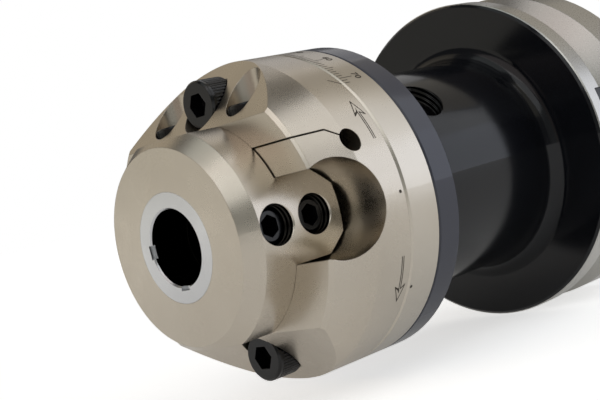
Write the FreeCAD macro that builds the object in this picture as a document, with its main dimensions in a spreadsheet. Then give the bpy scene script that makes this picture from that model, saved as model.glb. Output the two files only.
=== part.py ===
import FreeCAD, Part
import math
import os
import Sketcher
from FreeCAD import Placement, Rotation, Vector

# Fine boring head on a BT50 taper shank.
# The tool axis is Y. The gauge line of the taper is Y = 0, the nose points to -Y,
# the tool clamping screws point to +X and the two fixing bolts lie at +Z and -Z.

doc = FreeCAD.newDocument("boring_head")
sheet = doc.addObject("Spreadsheet::Sheet", "Sizes")

SIZES = (
    ("gauge_length", 157.5, "nose face to gauge line"),
    ("taper_gauge_diameter", 69.85, "BT50 taper at the gauge line"),
    ("taper_length", 101.8, "gauge line to small end"),
    ("taper_per_length", 7 / 24, "diameter lost per unit of length"),
    ("flange_diameter", 100, "BT50 flange"),
    ("flange_front", 38, "flange front face to gauge line"),
    ("flange_back", 3, "flange back face to gauge line"),
    ("groove_centre", 23.2, "gripper groove to gauge line"),
    ("groove_width", 15, "gripper groove at the rim"),
    ("groove_floor_diameter", 85, "gripper groove floor"),
    ("flange_chamfer", 1, "front rim chamfer"),
    ("key_width", 25.7, "driving key slot"),
    ("key_floor", 35.4, "slot floor to axis"),
    ("key_end", 33, "closed end of the slot to gauge line"),
    ("stud_pilot_diameter", 25, "retention knob pilot"),
    ("stud_pilot_depth", 6, "retention knob pilot"),
    ("stud_hole_diameter", 20.8, "M24 thread core"),
    ("stud_hole_depth", 62, "from the small end"),
    ("neck_diameter", 64.8, "between collar and flange"),
    ("neck_fillet", 5, "neck to flange"),
    ("head_diameter", 87.2, "head, dial ring and collar"),
    ("collar_front", 51.7, "collar front face from the nose face"),
    ("collar_back", 59.8, "collar back face from the nose face"),
    ("edge_break", 0.4, "small chamfer on turned rims"),
    ("spigot_diameter", 60, "centring spigot on the collar"),
    ("spigot_length", 4, "centring spigot on the collar"),
    ("plug_hole_diameter", 14, "M14 coolant hole in the neck"),
    ("plug_hole_depth", 14, "M14 coolant hole in the neck"),
    ("plug_hole_from_nose", 77.2, "M14 coolant hole in the neck"),
    ("plug_hole_angle", 43, "degrees from +X towards +Z"),
    ("plug_length", 9, "plug screw"),
    ("plug_start", 0.2, "plug screw to the hole's floor"),
    ("plug_key", 6, "hexagon of the plug screw"),
    ("plug_key_depth", 4, "hexagon of the plug screw"),
    ("nose_diameter", 58.5, "tool carrier"),
    ("nose_length", 14.2, "tool carrier in front of the head face"),
    ("nose_chamfer_length", 4.3, "axial"),
    ("nose_chamfer_height", 3.45, "radial"),
    ("nose_flats", 54, "across the two flats that clear the bolt heads"),
    ("tool_bore_diameter", 20, "tool shank bore"),
    ("tool_bore_depth", 26.5, "from the nose face"),
    ("sleeve_diameter", 28.9, "hardened sleeve at the mouth of the bore"),
    ("sleeve_length", 12, "hardened sleeve"),
    ("notch_width", 3.6, "spanner notches at the mouth of the sleeve"),
    ("notch_depth", 1, "radial"),
    ("notch_length", 1.2, "axial"),
    ("slot_width", 22, "cross slot in the head"),
    ("slot_end_centre", 20.6, "round end of the cross slot from the nose face"),
    ("slot_end_diameter", 25, "round end of the cross slot"),
    ("slide_gap", 0.05, "sliding clearance, each side"),
    ("tongue_end_gap", 2.1, "behind the tongue, to the end of the slot"),
    ("tongue_corner", 4.7, "chamfers at the tongue's end"),
    ("tool_screw_diameter", 10, "M10 set screw"),
    ("tool_screw_length", 16, "M10 set screw"),
    ("tool_screw_key", 5, "hexagon of the set screws"),
    ("tool_screw_recess", 1, "rear set screw, further out than the front one"),
    ("tool_screw_front", 9.8, "from the nose face"),
    ("tool_screw_rear", 22.5, "from the nose face"),
    ("tool_screw_mouth", 0.5, "chamfer at the mouth of the screw holes"),
    ("front_diameter", 82.4, "head at its front rim"),
    ("front_chamfer", 1, "front rim of the head"),
    ("taper_end", 28.3, "end of the tapered front from the nose face"),
    ("head_back", 40.6, "head back face from the nose face"),
    ("facet_height", 27, "facet's front edge to axis"),
    ("gib_recess", 0.3, "gib set back from the head face"),
    ("slit_height", 19.3, "slit to axis"),
    ("slit_width", 0.4, "wire-cut slit"),
    ("slit_bend", 23.9, "bend of the slit from the nose face"),
    ("relief_diameter", 6, "relief hole of the gib"),
    ("relief_from_nose", 29.4, "relief hole of the gib"),
    ("relief_height", 15.4, "relief hole to axis"),
    ("bolt_height", 34.2, "fixing bolts to axis"),
    ("bolt_seat", 26.5, "bolt head seat from the nose face"),
    ("bolt_pocket_diameter", 14, "counterbore"),
    ("bolt_diameter", 8, "M8 cap screw"),
    ("bolt_head_diameter", 13, "M8 cap screw"),
    ("bolt_head_height", 8, "M8 cap screw"),
    ("bolt_length", 32, "under the head"),
    ("bolt_clearance", 0.3, "radial, around the bolt shank"),
    ("clamp_spread", 15.8, "gib screws to the middle plane"),
    ("clamp_from_nose", 21.3, "gib screws"),
    ("clamp_pocket_diameter", 11, "counterbore"),
    ("clamp_pocket_floor", 23.6, "counterbore floor to axis"),
    ("clamp_diameter", 6, "M6 cap screw"),
    ("clamp_head_diameter", 10, "M6 cap screw"),
    ("clamp_head_height", 6, "M6 cap screw"),
    ("clamp_head_top", 31.2, "to axis"),
    ("pad_height", 2, "brass pad under a gib screw"),
    ("thread_gap", 0.05, "radial, around a screw that turns"),
    ("tip_gap", 0.3, "in front of a screw that is not yet tightened"),
    ("ring_gap", 0.1, "radial and axial running clearance of the dial ring"),
    ("hub_diameter", 80.2, "hub that carries the dial ring"),
    ("ring_chamfer", 0.6, "front rim of the dial ring"),
    ("cam_rest_radius", 41.35, "cam of the dial ring against the button"),
    ("cam_pitch", 1.25, "lift in one turn of the dial ring"),
    ("scale_turn", 103.68, "degrees, from reading 0 to reading 72"),
    ("retract_turn", 70, "degrees, beyond reading 72"),
    ("retract_depth", 0.4, "cam in the retract range"),
    ("cam_width", 6.2, "cam groove"),
    ("cam_from_nose", 44.7, "cam groove"),
    ("bar_width", 16, "cam bar along Z"),
    ("bar_floor", 38.5, "floor of the bar's groove from the nose face"),
    ("bar_outer_end", 38.6, "end behind the button to axis"),
    ("bar_inner_end", 23, "end at the plungers to axis"),
    ("bar_groove_end", 27, "end of the bar's groove to axis"),
    ("button_diameter", 5, "hardened button"),
    ("button_depth", 8, "in the bar"),
    ("pin_diameter", 7, "drive pins"),
    ("pin_near", 15, "inner drive pin to axis, towards -X"),
    ("pin_far", 23.5, "outer drive pin to axis, towards -X"),
    ("pin_depth", 7, "in the carrier"),
    ("web_slot_gap", 0.3, "around the drive pins"),
    ("web_slot_play", 1, "added along X"),
    ("plunger_spread", 4.3, "plungers to the middle plane"),
    ("plunger_from_nose", 43.9, "plungers"),
    ("plunger_diameter", 6, "plunger body"),
    ("plunger_length", 11, "plunger body"),
    ("plunger_pin_diameter", 3.6, "plunger pin"),
    ("plunger_pin_depth", 4, "in the plunger body"),
    ("dowel_diameter", 6, "dowel pins"),
    ("dowel_offset", 24, "dowel pins to axis, along X and along Z"),
    ("dowel_depth", 7, "in each part"),
    ("washer_outer_diameter", 85.2, "friction washer"),
    ("washer_inner_diameter", 82, "friction washer"),
    ("washer_thickness", 0.9, "friction washer"),
    ("seal_section", 1, "ring seal"),
    ("seal_from_nose", 50.1, "ring seal"),
)


class Size:
    """A length with its value and the sheet expression that drives it."""

    def __init__(self, number, text=None):
        self.number = float(number)
        self.text = text or "{:.6f}".format(self.number)

    def _join(self, other, sign, number):
        other = other if isinstance(other, Size) else Size(other)
        return Size(number(self.number, other.number), "({} {} {})".format(self.text, sign, other.text))

    def __add__(self, other):
        return self._join(other, "+", lambda a, b: a + b)

    def __sub__(self, other):
        return self._join(other, "-", lambda a, b: a - b)

    def __mul__(self, other):
        return self._join(other, "*", lambda a, b: a * b)

    def __truediv__(self, other):
        return self._join(other, "/", lambda a, b: a / b)

    def __neg__(self):
        return Size(-self.number, "(0 - {})".format(self.text))


for row, (name, value, note) in enumerate(SIZES, start=1):
    sheet.set("A{}".format(row), name)
    sheet.set("B{}".format(row), "{:.9g}".format(value))
    sheet.set("C{}".format(row), note)
    sheet.setAlias("B{}".format(row), name)
doc.recompute()

NAMES = {name for name, value, note in SIZES}


def size(name):
    """The named sheet size."""
    if name not in NAMES:
        raise KeyError(name)
    return Size(sheet.get(name), "Sizes.{}".format(name))


def radius(name):
    """Half of the named diameter."""
    return size(name) / 2


ZERO = Size(0)
NOSE = -size("gauge_length")


def from_nose(distance):
    """Y of a station that is measured from the nose face."""
    return NOSE + distance


FACE = from_nose(size("nose_length"))
HEAD_BACK = from_nose(size("head_back"))
COLLAR = from_nose(size("collar_front"))
SPIGOT = COLLAR - size("spigot_length")
BAR_FLOOR = from_nose(size("bar_floor"))
PLUNGER_Y = from_nose(size("plunger_from_nose"))
CAM = from_nose(size("cam_from_nose"))
SLOT_HALF = size("slot_width") / 2
SLOT_CENTRE = from_nose(size("slot_end_centre"))
SLOT_END = SLOT_CENTRE + radius("slot_end_diameter")
TONGUE_HALF = SLOT_HALF - size("slide_gap")
TONGUE_END = SLOT_END - size("tongue_end_gap")


# ---------------------------------------------------------------- sketches


def new_body(label):
    body = doc.addObject("PartDesign::Body", label)
    body.Label = label
    return body


def origin_plane(body, role):
    for feature in body.Origin.OriginFeatures:
        if feature.Role == role:
            return feature
    raise KeyError(role)


def new_sketch(body, name, role, offset=None):
    """A sketch on an origin plane, moved along that plane's normal by offset."""
    sketch = body.newObject("Sketcher::SketchObject", name)
    sketch.AttachmentSupport = [(origin_plane(body, role), "")]
    sketch.MapMode = "FlatFace"
    if offset is not None:
        sketch.setExpression(".AttachmentOffset.Base.z", offset.text)
    return sketch


def fix_point(sketch, geometry, end, x, y):
    """Ties a point to the origin by two driven distances."""
    for kind, axis, value in (("DistanceX", -2, x), ("DistanceY", -1, y)):
        if abs(value.number) < 1e-9:
            sketch.addConstraint(Sketcher.Constraint("PointOnObject", geometry, end, axis))
            continue
        index = sketch.addConstraint(Sketcher.Constraint(kind, -1, 1, geometry, end, value.number))
        sketch.setExpression("Constraints[{}]".format(index), value.text)


def draw_polygon(sketch, points):
    """A closed outline of straight lines through driven points."""
    first = sketch.GeometryCount
    count = len(points)
    vectors = [Vector(x.number, y.number, 0) for x, y in points]
    for i in range(count):
        sketch.addGeometry(Part.LineSegment(vectors[i], vectors[(i + 1) % count]), False)
    for i in range(count):
        after = first + (i + 1) % count
        sketch.addConstraint(Sketcher.Constraint("Coincident", first + i, 2, after, 1))
    for i, (x, y) in enumerate(points):
        fix_point(sketch, first + i, 1, x, y)


def draw_circle(sketch, x, y, r):
    index = sketch.addGeometry(
        Part.Circle(Vector(x.number, y.number, 0), Vector(0, 0, 1), r.number), False
    )
    fix_point(sketch, index, 3, x, y)
    constraint = sketch.addConstraint(Sketcher.Constraint("Radius", index, r.number))
    sketch.setExpression("Constraints[{}]".format(constraint), r.text)


def draw_rectangle(sketch, x0, y0, x1, y1):
    draw_polygon(sketch, [(x0, y0), (x1, y0), (x1, y1), (x0, y1)])


# ---------------------------------------------------------------- features


def revolve(body, name, points):
    """Turns an outline of (radius, Y) points about the tool axis."""
    sketch = new_sketch(body, name + "_profile", "XY_Plane")
    draw_polygon(sketch, points)
    turned = body.newObject("PartDesign::Revolution", name)
    turned.Profile = sketch
    turned.ReferenceAxis = (sketch, ["V_Axis"])
    turned.Angle = 360
    doc.recompute()
    return turned


def groove(body, name, points):
    """Cuts an outline of (radius, Y) points turned about the tool axis."""
    sketch = new_sketch(body, name + "_profile", "XY_Plane")
    draw_polygon(sketch, points)
    cut = body.newObject("PartDesign::Groove", name)
    cut.Profile = sketch
    cut.ReferenceAxis = (sketch, ["V_Axis"])
    cut.Angle = 360
    doc.recompute()
    return cut


def pocket(body, name, role, draw, offset=None, depth=None, reverse=False):
    """Cuts a sketch through everything both ways, or one way to a driven depth."""
    before = body.Shape.Volume
    sketch = new_sketch(body, name + "_outline", role, offset)
    draw(sketch)
    cut = body.newObject("PartDesign::Pocket", name)
    cut.Profile = sketch
    if depth is None:
        cut.Midplane = True
        cut.Type = "ThroughAll"
    else:
        cut.Type = "Length"
        cut.setExpression("Length", depth.text)
        cut.Reversed = reverse
    doc.recompute()
    if not before - body.Shape.Volume > 1e-3:
        raise RuntimeError("{} cuts nothing".format(name))
    return cut


def cylinder(name, r, length, base, axis):
    """A driven Part cylinder that starts at base and runs along axis."""
    item = doc.addObject("Part::Cylinder", name)
    item.Placement = Placement(Vector(), Rotation(Vector(0, 0, 1), Vector(*axis)))
    item.setExpression("Radius", r.text)
    item.setExpression("Height", length.text)
    for letter, value in zip("xyz", base):
        item.setExpression(".Placement.Base." + letter, value.text)
    return item


def cone(name, r1, r2, length, base, axis):
    item = doc.addObject("Part::Cone", name)
    item.Placement = Placement(Vector(), Rotation(Vector(0, 0, 1), Vector(*axis)))
    item.setExpression("Radius1", r1.text)
    item.setExpression("Radius2", r2.text)
    item.setExpression("Height", length.text)
    for letter, value in zip("xyz", base):
        item.setExpression(".Placement.Base." + letter, value.text)
    return item


def hexagon(name, across_flats, depth, base, axis):
    """A hexagonal prism for a socket, sized across its flats."""
    item = doc.addObject("Part::Prism", name)
    item.Polygon = 6
    item.Placement = Placement(Vector(), Rotation(Vector(0, 0, 1), Vector(*axis)))
    item.setExpression("Circumradius", (across_flats / math.sqrt(3)).text)
    item.setExpression("Height", depth.text)
    for letter, value in zip("xyz", base):
        item.setExpression(".Placement.Base." + letter, value.text)
    return item


def fuse(name, items):
    item = doc.addObject("Part::MultiFuse", name)
    item.Shapes = items
    item.Refine = True
    return item


def subtract(name, base, tool):
    item = doc.addObject("Part::Cut", name)
    item.Base = base
    item.Tool = tool
    return item


def group(name, items):
    item = doc.addObject("Part::Compound", name)
    item.Links = items
    return item


def moved(start, axis, distance):
    """A driven point moved from start along an axis."""
    return tuple(s + distance * a if a else s for s, a in zip(start, axis))


NODES = []


def node(item, label):
    item.Label = label
    NODES.append(item)
    return item


def cap_screw(label, prefix, length, seat, axis, socket):
    """A socket cap screw; axis points from the seat towards the head's top."""
    down = tuple(-a for a in axis)
    top = moved(seat, axis, size(prefix + "_head_height"))
    bevel = radius(prefix + "_head_diameter") * 0.08
    head_r = radius(prefix + "_head_diameter")
    head = cylinder(label + "_head", head_r, size(prefix + "_head_height") - bevel, seat, axis)
    rim = cone(label + "_rim", head_r, head_r - bevel, bevel, moved(top, down, bevel), axis)
    shank = cylinder(label + "_shank", radius(prefix + "_diameter"), length, seat, down)
    solid = fuse(label + "_solid", [head, rim, shank])
    depth = size(prefix + "_head_height") * 0.55
    return subtract(label + "_screw", solid, hexagon(label + "_socket", Size(socket), depth, top, down))


# ---------------------------------------------------------------- taper shank

COLLAR_BACK = from_nose(size("collar_back"))
HEAD_R = radius("head_diameter")
BREAK = size("edge_break")
FLANGE_R = radius("flange_diameter")
NECK_R = radius("neck_diameter")
TAPER_R = radius("taper_gauge_diameter")
SLOPE = size("taper_per_length") / 2
FLANGE_FRONT = -size("flange_front")
FLANGE_BACK = -size("flange_back")
SMALL_END = size("taper_length")
TAIL_BREAK = Size(1.5)

shank = new_body("taper_shank")
revolve(shank, "shank_turning", [
    (ZERO, SPIGOT),
    (radius("spigot_diameter") - BREAK, SPIGOT),
    (radius("spigot_diameter"), SPIGOT + BREAK),
    (radius("spigot_diameter"), COLLAR),
    (HEAD_R - BREAK, COLLAR),
    (HEAD_R, COLLAR + BREAK),
    (HEAD_R, COLLAR_BACK - BREAK),
    (HEAD_R - BREAK, COLLAR_BACK),
    (NECK_R, COLLAR_BACK),
    (NECK_R, FLANGE_FRONT),
    (FLANGE_R - size("flange_chamfer"), FLANGE_FRONT),
    (FLANGE_R, FLANGE_FRONT + size("flange_chamfer")),
    (FLANGE_R, FLANGE_BACK - BREAK),
    (FLANGE_R - BREAK, FLANGE_BACK),
    (TAPER_R - SLOPE * FLANGE_BACK, FLANGE_BACK),
    (TAPER_R - SLOPE * (SMALL_END - TAIL_BREAK), SMALL_END - TAIL_BREAK),
    (TAPER_R - SLOPE * SMALL_END - TAIL_BREAK, SMALL_END),
    (ZERO, SMALL_END),
])

fillet = shank.newObject("PartDesign::Fillet", "neck_fillet")
corner = [
    "Edge{}".format(i + 1)
    for i, edge in enumerate(shank.Shape.Edges)
    if abs(edge.BoundBox.YMin - FLANGE_FRONT.number) < 1e-4
    and abs(edge.BoundBox.YMax - FLANGE_FRONT.number) < 1e-4
    and abs(edge.BoundBox.XMax - NECK_R.number) < 1e-3
]
fillet.Base = (doc.getObject("shank_turning"), corner)
fillet.setExpression("Radius", "Sizes.neck_fillet")
doc.recompute()

GROOVE = -size("groove_centre")
GROOVE_HALF = size("groove_width") / 2
GROOVE_FLOOR = radius("groove_floor_diameter")
GROOVE_FLOOR_HALF = GROOVE_HALF - (FLANGE_R - GROOVE_FLOOR) * math.tan(math.radians(30))
groove(shank, "gripper_groove", [
    (GROOVE_FLOOR, GROOVE - GROOVE_FLOOR_HALF),
    (GROOVE_FLOOR, GROOVE + GROOVE_FLOOR_HALF),
    (FLANGE_R, GROOVE + GROOVE_HALF),
    (FLANGE_R + 1, GROOVE + GROOVE_HALF),
    (FLANGE_R + 1, GROOVE - GROOVE_HALF),
    (FLANGE_R, GROOVE - GROOVE_HALF),
])


def draw_key_slots(sketch):
    half = size("key_width") / 2
    outside = FLANGE_R + 2
    draw_rectangle(sketch, size("key_floor"), -half, outside, half)
    draw_rectangle(sketch, -outside, -half, -size("key_floor"), half)


pocket(shank, "key_slots", "XZ_Plane", draw_key_slots, size("key_end"), size("key_end"))

groove(shank, "retention_hole", [
    (ZERO, SMALL_END + 1),
    (radius("stud_pilot_diameter"), SMALL_END + 1),
    (radius("stud_pilot_diameter"), SMALL_END - size("stud_pilot_depth")),
    (radius("stud_hole_diameter"), SMALL_END - size("stud_pilot_depth") - 1),
    (radius("stud_hole_diameter"), SMALL_END - size("stud_hole_depth")),
    (ZERO, SMALL_END - size("stud_hole_depth") - radius("stud_hole_diameter") * 0.6),
])


def draw_bolt_holes(sketch):
    for side in (1, -1):
        draw_circle(sketch, ZERO, size("bolt_height") * side, radius("bolt_diameter"))


def draw_dowel_holes(sketch):
    offset = size("dowel_offset")
    draw_circle(sketch, offset, offset, radius("dowel_diameter"))
    draw_circle(sketch, -offset, -offset, radius("dowel_diameter"))


BOLT_END = from_nose(size("bolt_seat")) + size("bolt_length")
pocket(shank, "bolt_holes", "XZ_Plane", draw_bolt_holes, -COLLAR, BOLT_END - COLLAR + 0.5)
pocket(shank, "dowel_holes", "XZ_Plane", draw_dowel_holes, -COLLAR, size("dowel_depth"))

angle = size("plug_hole_angle").number
plug_sketch = shank.newObject("Sketcher::SketchObject", "plug_hole_outline")
plug_sketch.AttachmentSupport = [(origin_plane(shank, "YZ_Plane"), "")]
plug_sketch.MapMode = "FlatFace"
plug_sketch.AttachmentOffset = Placement(Vector(), Rotation(Vector(1, 0, 0), -angle))
plug_offset = NECK_R + 1
plug_x = "{} * sin(Sizes.plug_hole_angle * 1 deg)".format(plug_offset.text)
plug_z = "{} * cos(Sizes.plug_hole_angle * 1 deg)".format(plug_offset.text)
plug_sketch.setExpression(".AttachmentOffset.Base.y", plug_x)
plug_sketch.setExpression(".AttachmentOffset.Base.z", plug_z)
plug_sketch.setExpression(".AttachmentOffset.Rotation.Angle", "0 deg - Sizes.plug_hole_angle * 1 deg")
PLUG_Y = from_nose(size("plug_hole_from_nose"))
draw_circle(plug_sketch, PLUG_Y, ZERO, radius("plug_hole_diameter"))
plug_hole = shank.newObject("PartDesign::Pocket", "plug_hole")
plug_hole.Profile = plug_sketch
plug_hole.Type = "Length"
plug_hole.setExpression("Length", (size("plug_hole_depth") + 1).text)
doc.recompute()
node(shank, "taper_shank")

# ---------------------------------------------------------------- head body

head = new_body("head_body")
FRONT_R = radius("front_diameter")
FRONT_CHAMFER = size("front_chamfer")
HUB_R = radius("hub_diameter")
SPIGOT_FIT = radius("spigot_diameter") + 0.02
revolve(head, "head_turning", [
    (ZERO, FACE),
    (FRONT_R - FRONT_CHAMFER, FACE),
    (FRONT_R, FACE + FRONT_CHAMFER),
    (HEAD_R, from_nose(size("taper_end"))),
    (HEAD_R, HEAD_BACK - BREAK),
    (HEAD_R - BREAK, HEAD_BACK),
    (HUB_R, HEAD_BACK),
    (HUB_R, COLLAR),
    (SPIGOT_FIT, COLLAR),
    (SPIGOT_FIT, SPIGOT),
    (ZERO, SPIGOT),
])


def draw_facets(sketch):
    low = size("facet_height")
    high = HEAD_R + 4
    for side in (1, -1):
        draw_polygon(sketch, [
            (FACE - 1, (low - 1) * side),
            (FACE + (high - low), high * side),
            (FACE - 1, high * side),
        ])


def draw_cross_slot(sketch):
    draw_rectangle(sketch, FACE - 1, -SLOT_HALF, SLOT_CENTRE, SLOT_HALF)


def draw_slot_end(sketch):
    draw_circle(sketch, SLOT_CENTRE, ZERO, radius("slot_end_diameter"))


def draw_gib_recess(sketch):
    draw_rectangle(sketch, FACE - 1, SLOT_HALF - 0.5, FACE + size("gib_recess"), size("slit_height"))


def draw_slit(sketch):
    half = size("slit_width") / 2
    high = size("slit_height")
    bend = from_nose(size("slit_bend"))
    hole_y = from_nose(size("relief_from_nose"))
    hole_z = size("relief_height")
    draw_polygon(sketch, [
        (FACE - 1, high - half),
        (bend - half * 0.5, high - half),
        (hole_y, hole_z),
        (hole_y, hole_z + half * 2),
        (bend + half * 0.5, high + half),
        (FACE - 1, high + half),
    ])


def draw_relief(sketch):
    y = from_nose(size("relief_from_nose"))
    draw_circle(sketch, y, size("relief_height"), radius("relief_diameter"))


pocket(head, "facets", "YZ_Plane", draw_facets)
pocket(head, "cross_slot", "YZ_Plane", draw_cross_slot)
pocket(head, "cross_slot_end", "YZ_Plane", draw_slot_end)
pocket(head, "gib_recess", "YZ_Plane", draw_gib_recess)
pocket(head, "slit", "YZ_Plane", draw_slit)
pocket(head, "relief_hole", "YZ_Plane", draw_relief)


def draw_bolt_clearance(sketch):
    for side in (1, -1):
        clear = radius("bolt_diameter") + size("bolt_clearance")
        draw_circle(sketch, ZERO, size("bolt_height") * side, clear)


def draw_bolt_pockets(sketch):
    for side in (1, -1):
        draw_circle(sketch, ZERO, size("bolt_height") * side, radius("bolt_pocket_diameter"))


BOLT_SEAT = from_nose(size("bolt_seat"))
pocket(head, "bolt_clearance", "XZ_Plane", draw_bolt_clearance)
pocket(head, "bolt_pockets", "XZ_Plane", draw_bolt_pockets, -BOLT_SEAT, size("bolt_seat"), True)


def draw_clamp_pockets(sketch):
    y = from_nose(size("clamp_from_nose"))
    for side in (1, -1):
        draw_circle(sketch, size("clamp_spread") * side, y, radius("clamp_pocket_diameter"))


def draw_clamp_threads(sketch):
    y = from_nose(size("clamp_from_nose"))
    for side in (1, -1):
        r = radius("clamp_diameter") + size("thread_gap")
        draw_circle(sketch, size("clamp_spread") * side, y, r)


CLAMP_FLOOR = size("clamp_pocket_floor")
pocket(head, "clamp_pockets", "XY_Plane", draw_clamp_pockets, CLAMP_FLOOR, Size(30), True)
pocket(head, "clamp_threads", "XY_Plane", draw_clamp_threads, size("slit_height"), Size(8), True)

BAR_HALF = size("bar_width") / 2
BAR_GROOVE_HALF = BAR_HALF + size("slide_gap")


def draw_bar_groove(sketch):
    outside = -(HUB_R + 1)
    draw_rectangle(sketch, outside, -BAR_GROOVE_HALF, size("bar_groove_end"), BAR_GROOVE_HALF)


pocket(head, "bar_groove", "XZ_Plane", draw_bar_groove, -BAR_FLOOR, Size(20))


def draw_web_slot(sketch):
    half = radius("pin_diameter") + size("web_slot_gap")
    play = half + size("web_slot_play")
    draw_rectangle(sketch, -size("pin_far") - play, -half, play - size("pin_near"), half)


pocket(head, "web_slot", "XZ_Plane", draw_web_slot, -(SLOT_END - 5), BAR_FLOOR - SLOT_END + 5.5)


def draw_plunger_holes(sketch):
    for side in (1, -1):
        draw_circle(sketch, PLUNGER_Y, size("plunger_spread") * side, radius("plunger_diameter"))


GROOVE_END = size("bar_groove_end")
pocket(head, "plunger_holes", "YZ_Plane", draw_plunger_holes, GROOVE_END - 0.5, Size(16), True)
pocket(head, "head_dowel_holes", "XZ_Plane", draw_dowel_holes, -(COLLAR - size("dowel_depth")), Size(8))

SEAL_Y = from_nose(size("seal_from_nose"))
SEAL_HALF = size("seal_section") / 2
groove(head, "seal_groove", [
    (HUB_R - size("seal_section"), SEAL_Y - SEAL_HALF - 0.1),
    (HUB_R - size("seal_section"), SEAL_Y + SEAL_HALF + 0.1),
    (HUB_R + 1, SEAL_Y + SEAL_HALF + 0.1),
    (HUB_R + 1, SEAL_Y - SEAL_HALF - 0.1),
])
node(head, "head_body")

# ---------------------------------------------------------------- tool carrier

carrier = new_body("carrier_blank")
NOSE_R = radius("nose_diameter")
revolve(carrier, "carrier_turning", [
    (ZERO, NOSE),
    (NOSE_R - size("nose_chamfer_height"), NOSE),
    (NOSE_R, NOSE + size("nose_chamfer_length")),
    (NOSE_R, TONGUE_END),
    (ZERO, TONGUE_END),
])


def draw_tongue_surround(sketch):
    """What is milled away on both sides of the tongue and behind it."""
    front = FACE - size("slide_gap")
    back = TONGUE_END + 1
    outside = NOSE_R + 1
    corner = size("tongue_corner")
    draw_polygon(sketch, [
        (front, TONGUE_HALF),
        (TONGUE_END - corner, TONGUE_HALF),
        (TONGUE_END, TONGUE_HALF - corner),
        (TONGUE_END, -(TONGUE_HALF - corner)),
        (TONGUE_END - corner, -TONGUE_HALF),
        (front, -TONGUE_HALF),
        (front, -outside),
        (back, -outside),
        (back, outside),
        (front, outside),
    ])


def draw_nose_flats(sketch):
    low = size("nose_flats") / 2
    outside = NOSE_R + 1
    for side in (1, -1):
        draw_rectangle(sketch, NOSE - 1, low * side, FACE, outside * side)


def draw_tool_bore(sketch):
    draw_circle(sketch, ZERO, ZERO, radius("tool_bore_diameter"))


def draw_sleeve_seat(sketch):
    draw_circle(sketch, ZERO, ZERO, radius("sleeve_diameter"))


def draw_pin_holes(sketch):
    for name in ("pin_near", "pin_far"):
        draw_circle(sketch, -size(name), ZERO, radius("pin_diameter"))


def draw_tool_screws(sketch):
    r = radius("tool_screw_diameter") + size("thread_gap")
    for name in ("tool_screw_front", "tool_screw_rear"):
        draw_circle(sketch, from_nose(size(name)), ZERO, r)


pocket(carrier, "tongue_surround", "YZ_Plane", draw_tongue_surround)
pocket(carrier, "nose_flats", "YZ_Plane", draw_nose_flats)
pocket(carrier, "tool_bore", "XZ_Plane", draw_tool_bore, -NOSE, size("tool_bore_depth"))
pocket(carrier, "sleeve_seat", "XZ_Plane", draw_sleeve_seat, -NOSE, size("sleeve_length"))
PIN_BOTTOM = TONGUE_END - size("pin_depth")
pocket(carrier, "pin_holes", "XZ_Plane", draw_pin_holes, -PIN_BOTTOM, size("pin_depth") + 1)
pocket(carrier, "tool_screw_holes", "YZ_Plane", draw_tool_screws, ZERO, NOSE_R + 1, True)


def screw_mouth(station):
    """The chamfer at the mouth of one tool screw hole."""
    r = radius("tool_screw_diameter") + size("thread_gap")
    mouth = size("tool_screw_mouth")
    base = (NOSE_R - mouth * 1.6, from_nose(size(station)), ZERO)
    return cone(station + "_mouth", r - mouth * 0.6, r + mouth * 1.4, mouth * 2, base, (1, 0, 0))


mouths = fuse("screw_mouths", [screw_mouth("tool_screw_front"), screw_mouth("tool_screw_rear")])
carrier_cut = subtract("carrier_finished", carrier, mouths)
node(carrier_cut, "tool_carrier")

# ---------------------------------------------------------------- sleeve and screws

sleeve = new_body("bore_sleeve")
SLEEVE_R = radius("sleeve_diameter") - 0.01
BORE_R = radius("tool_bore_diameter")
SLEEVE_END = from_nose(size("sleeve_length"))
revolve(sleeve, "sleeve_turning", [
    (BORE_R + BREAK, NOSE),
    (SLEEVE_R, NOSE),
    (SLEEVE_R, SLEEVE_END),
    (BORE_R, SLEEVE_END),
    (BORE_R, NOSE + BREAK),
])


def draw_sleeve_hole(sketch):
    r = radius("tool_screw_diameter") + size("thread_gap")
    draw_circle(sketch, from_nose(size("tool_screw_front")), ZERO, r)


def draw_notches(sketch):
    """Two radial notches, one beside the tool screws' far side and one below."""
    half = size("notch_width") / 2
    deep = BORE_R + size("notch_depth")
    shallow = BORE_R - 1
    draw_rectangle(sketch, -deep, -half, -shallow, half)
    draw_rectangle(sketch, -half, -deep, half, -shallow)


pocket(sleeve, "sleeve_screw_hole", "YZ_Plane", draw_sleeve_hole, ZERO, Size(20), True)
pocket(sleeve, "mouth_notches", "XZ_Plane", draw_notches, -NOSE, size("notch_length"))
node(sleeve, "bore_sleeve")

for label, recess in (("tool_screw_front", ZERO), ("tool_screw_rear", size("tool_screw_recess"))):
    length = size("tool_screw_length")
    r = radius("tool_screw_diameter")
    tip = (BORE_R + size("tip_gap") + recess, from_nose(size(label)), ZERO)
    end = moved(tip, (1, 0, 0), length)
    bevel = r * 0.25
    parts = [
        cone(label + "_point", r - bevel * 2, r, bevel * 2, tip, (1, 0, 0)),
        cylinder(label + "_thread", r, length - bevel * 3, moved(tip, (1, 0, 0), bevel * 2), (1, 0, 0)),
        cone(label + "_end", r, r - bevel, bevel, moved(end, (-1, 0, 0), bevel), (1, 0, 0)),
    ]
    socket = hexagon(label + "_socket", size("tool_screw_key"), length * 0.4, end, (-1, 0, 0))
    node(subtract(label + "_set_screw", fuse(label + "_solid", parts), socket), label)

bolts = []
for name, side in (("upper", 1), ("lower", -1)):
    seat = (ZERO, BOLT_SEAT, size("bolt_height") * side)
    bolts.append(cap_screw("bolt_" + name, "bolt", size("bolt_length"), seat, (0, -1, 0), 6))
node(group("bolt_pair", bolts), "body_bolts")

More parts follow.
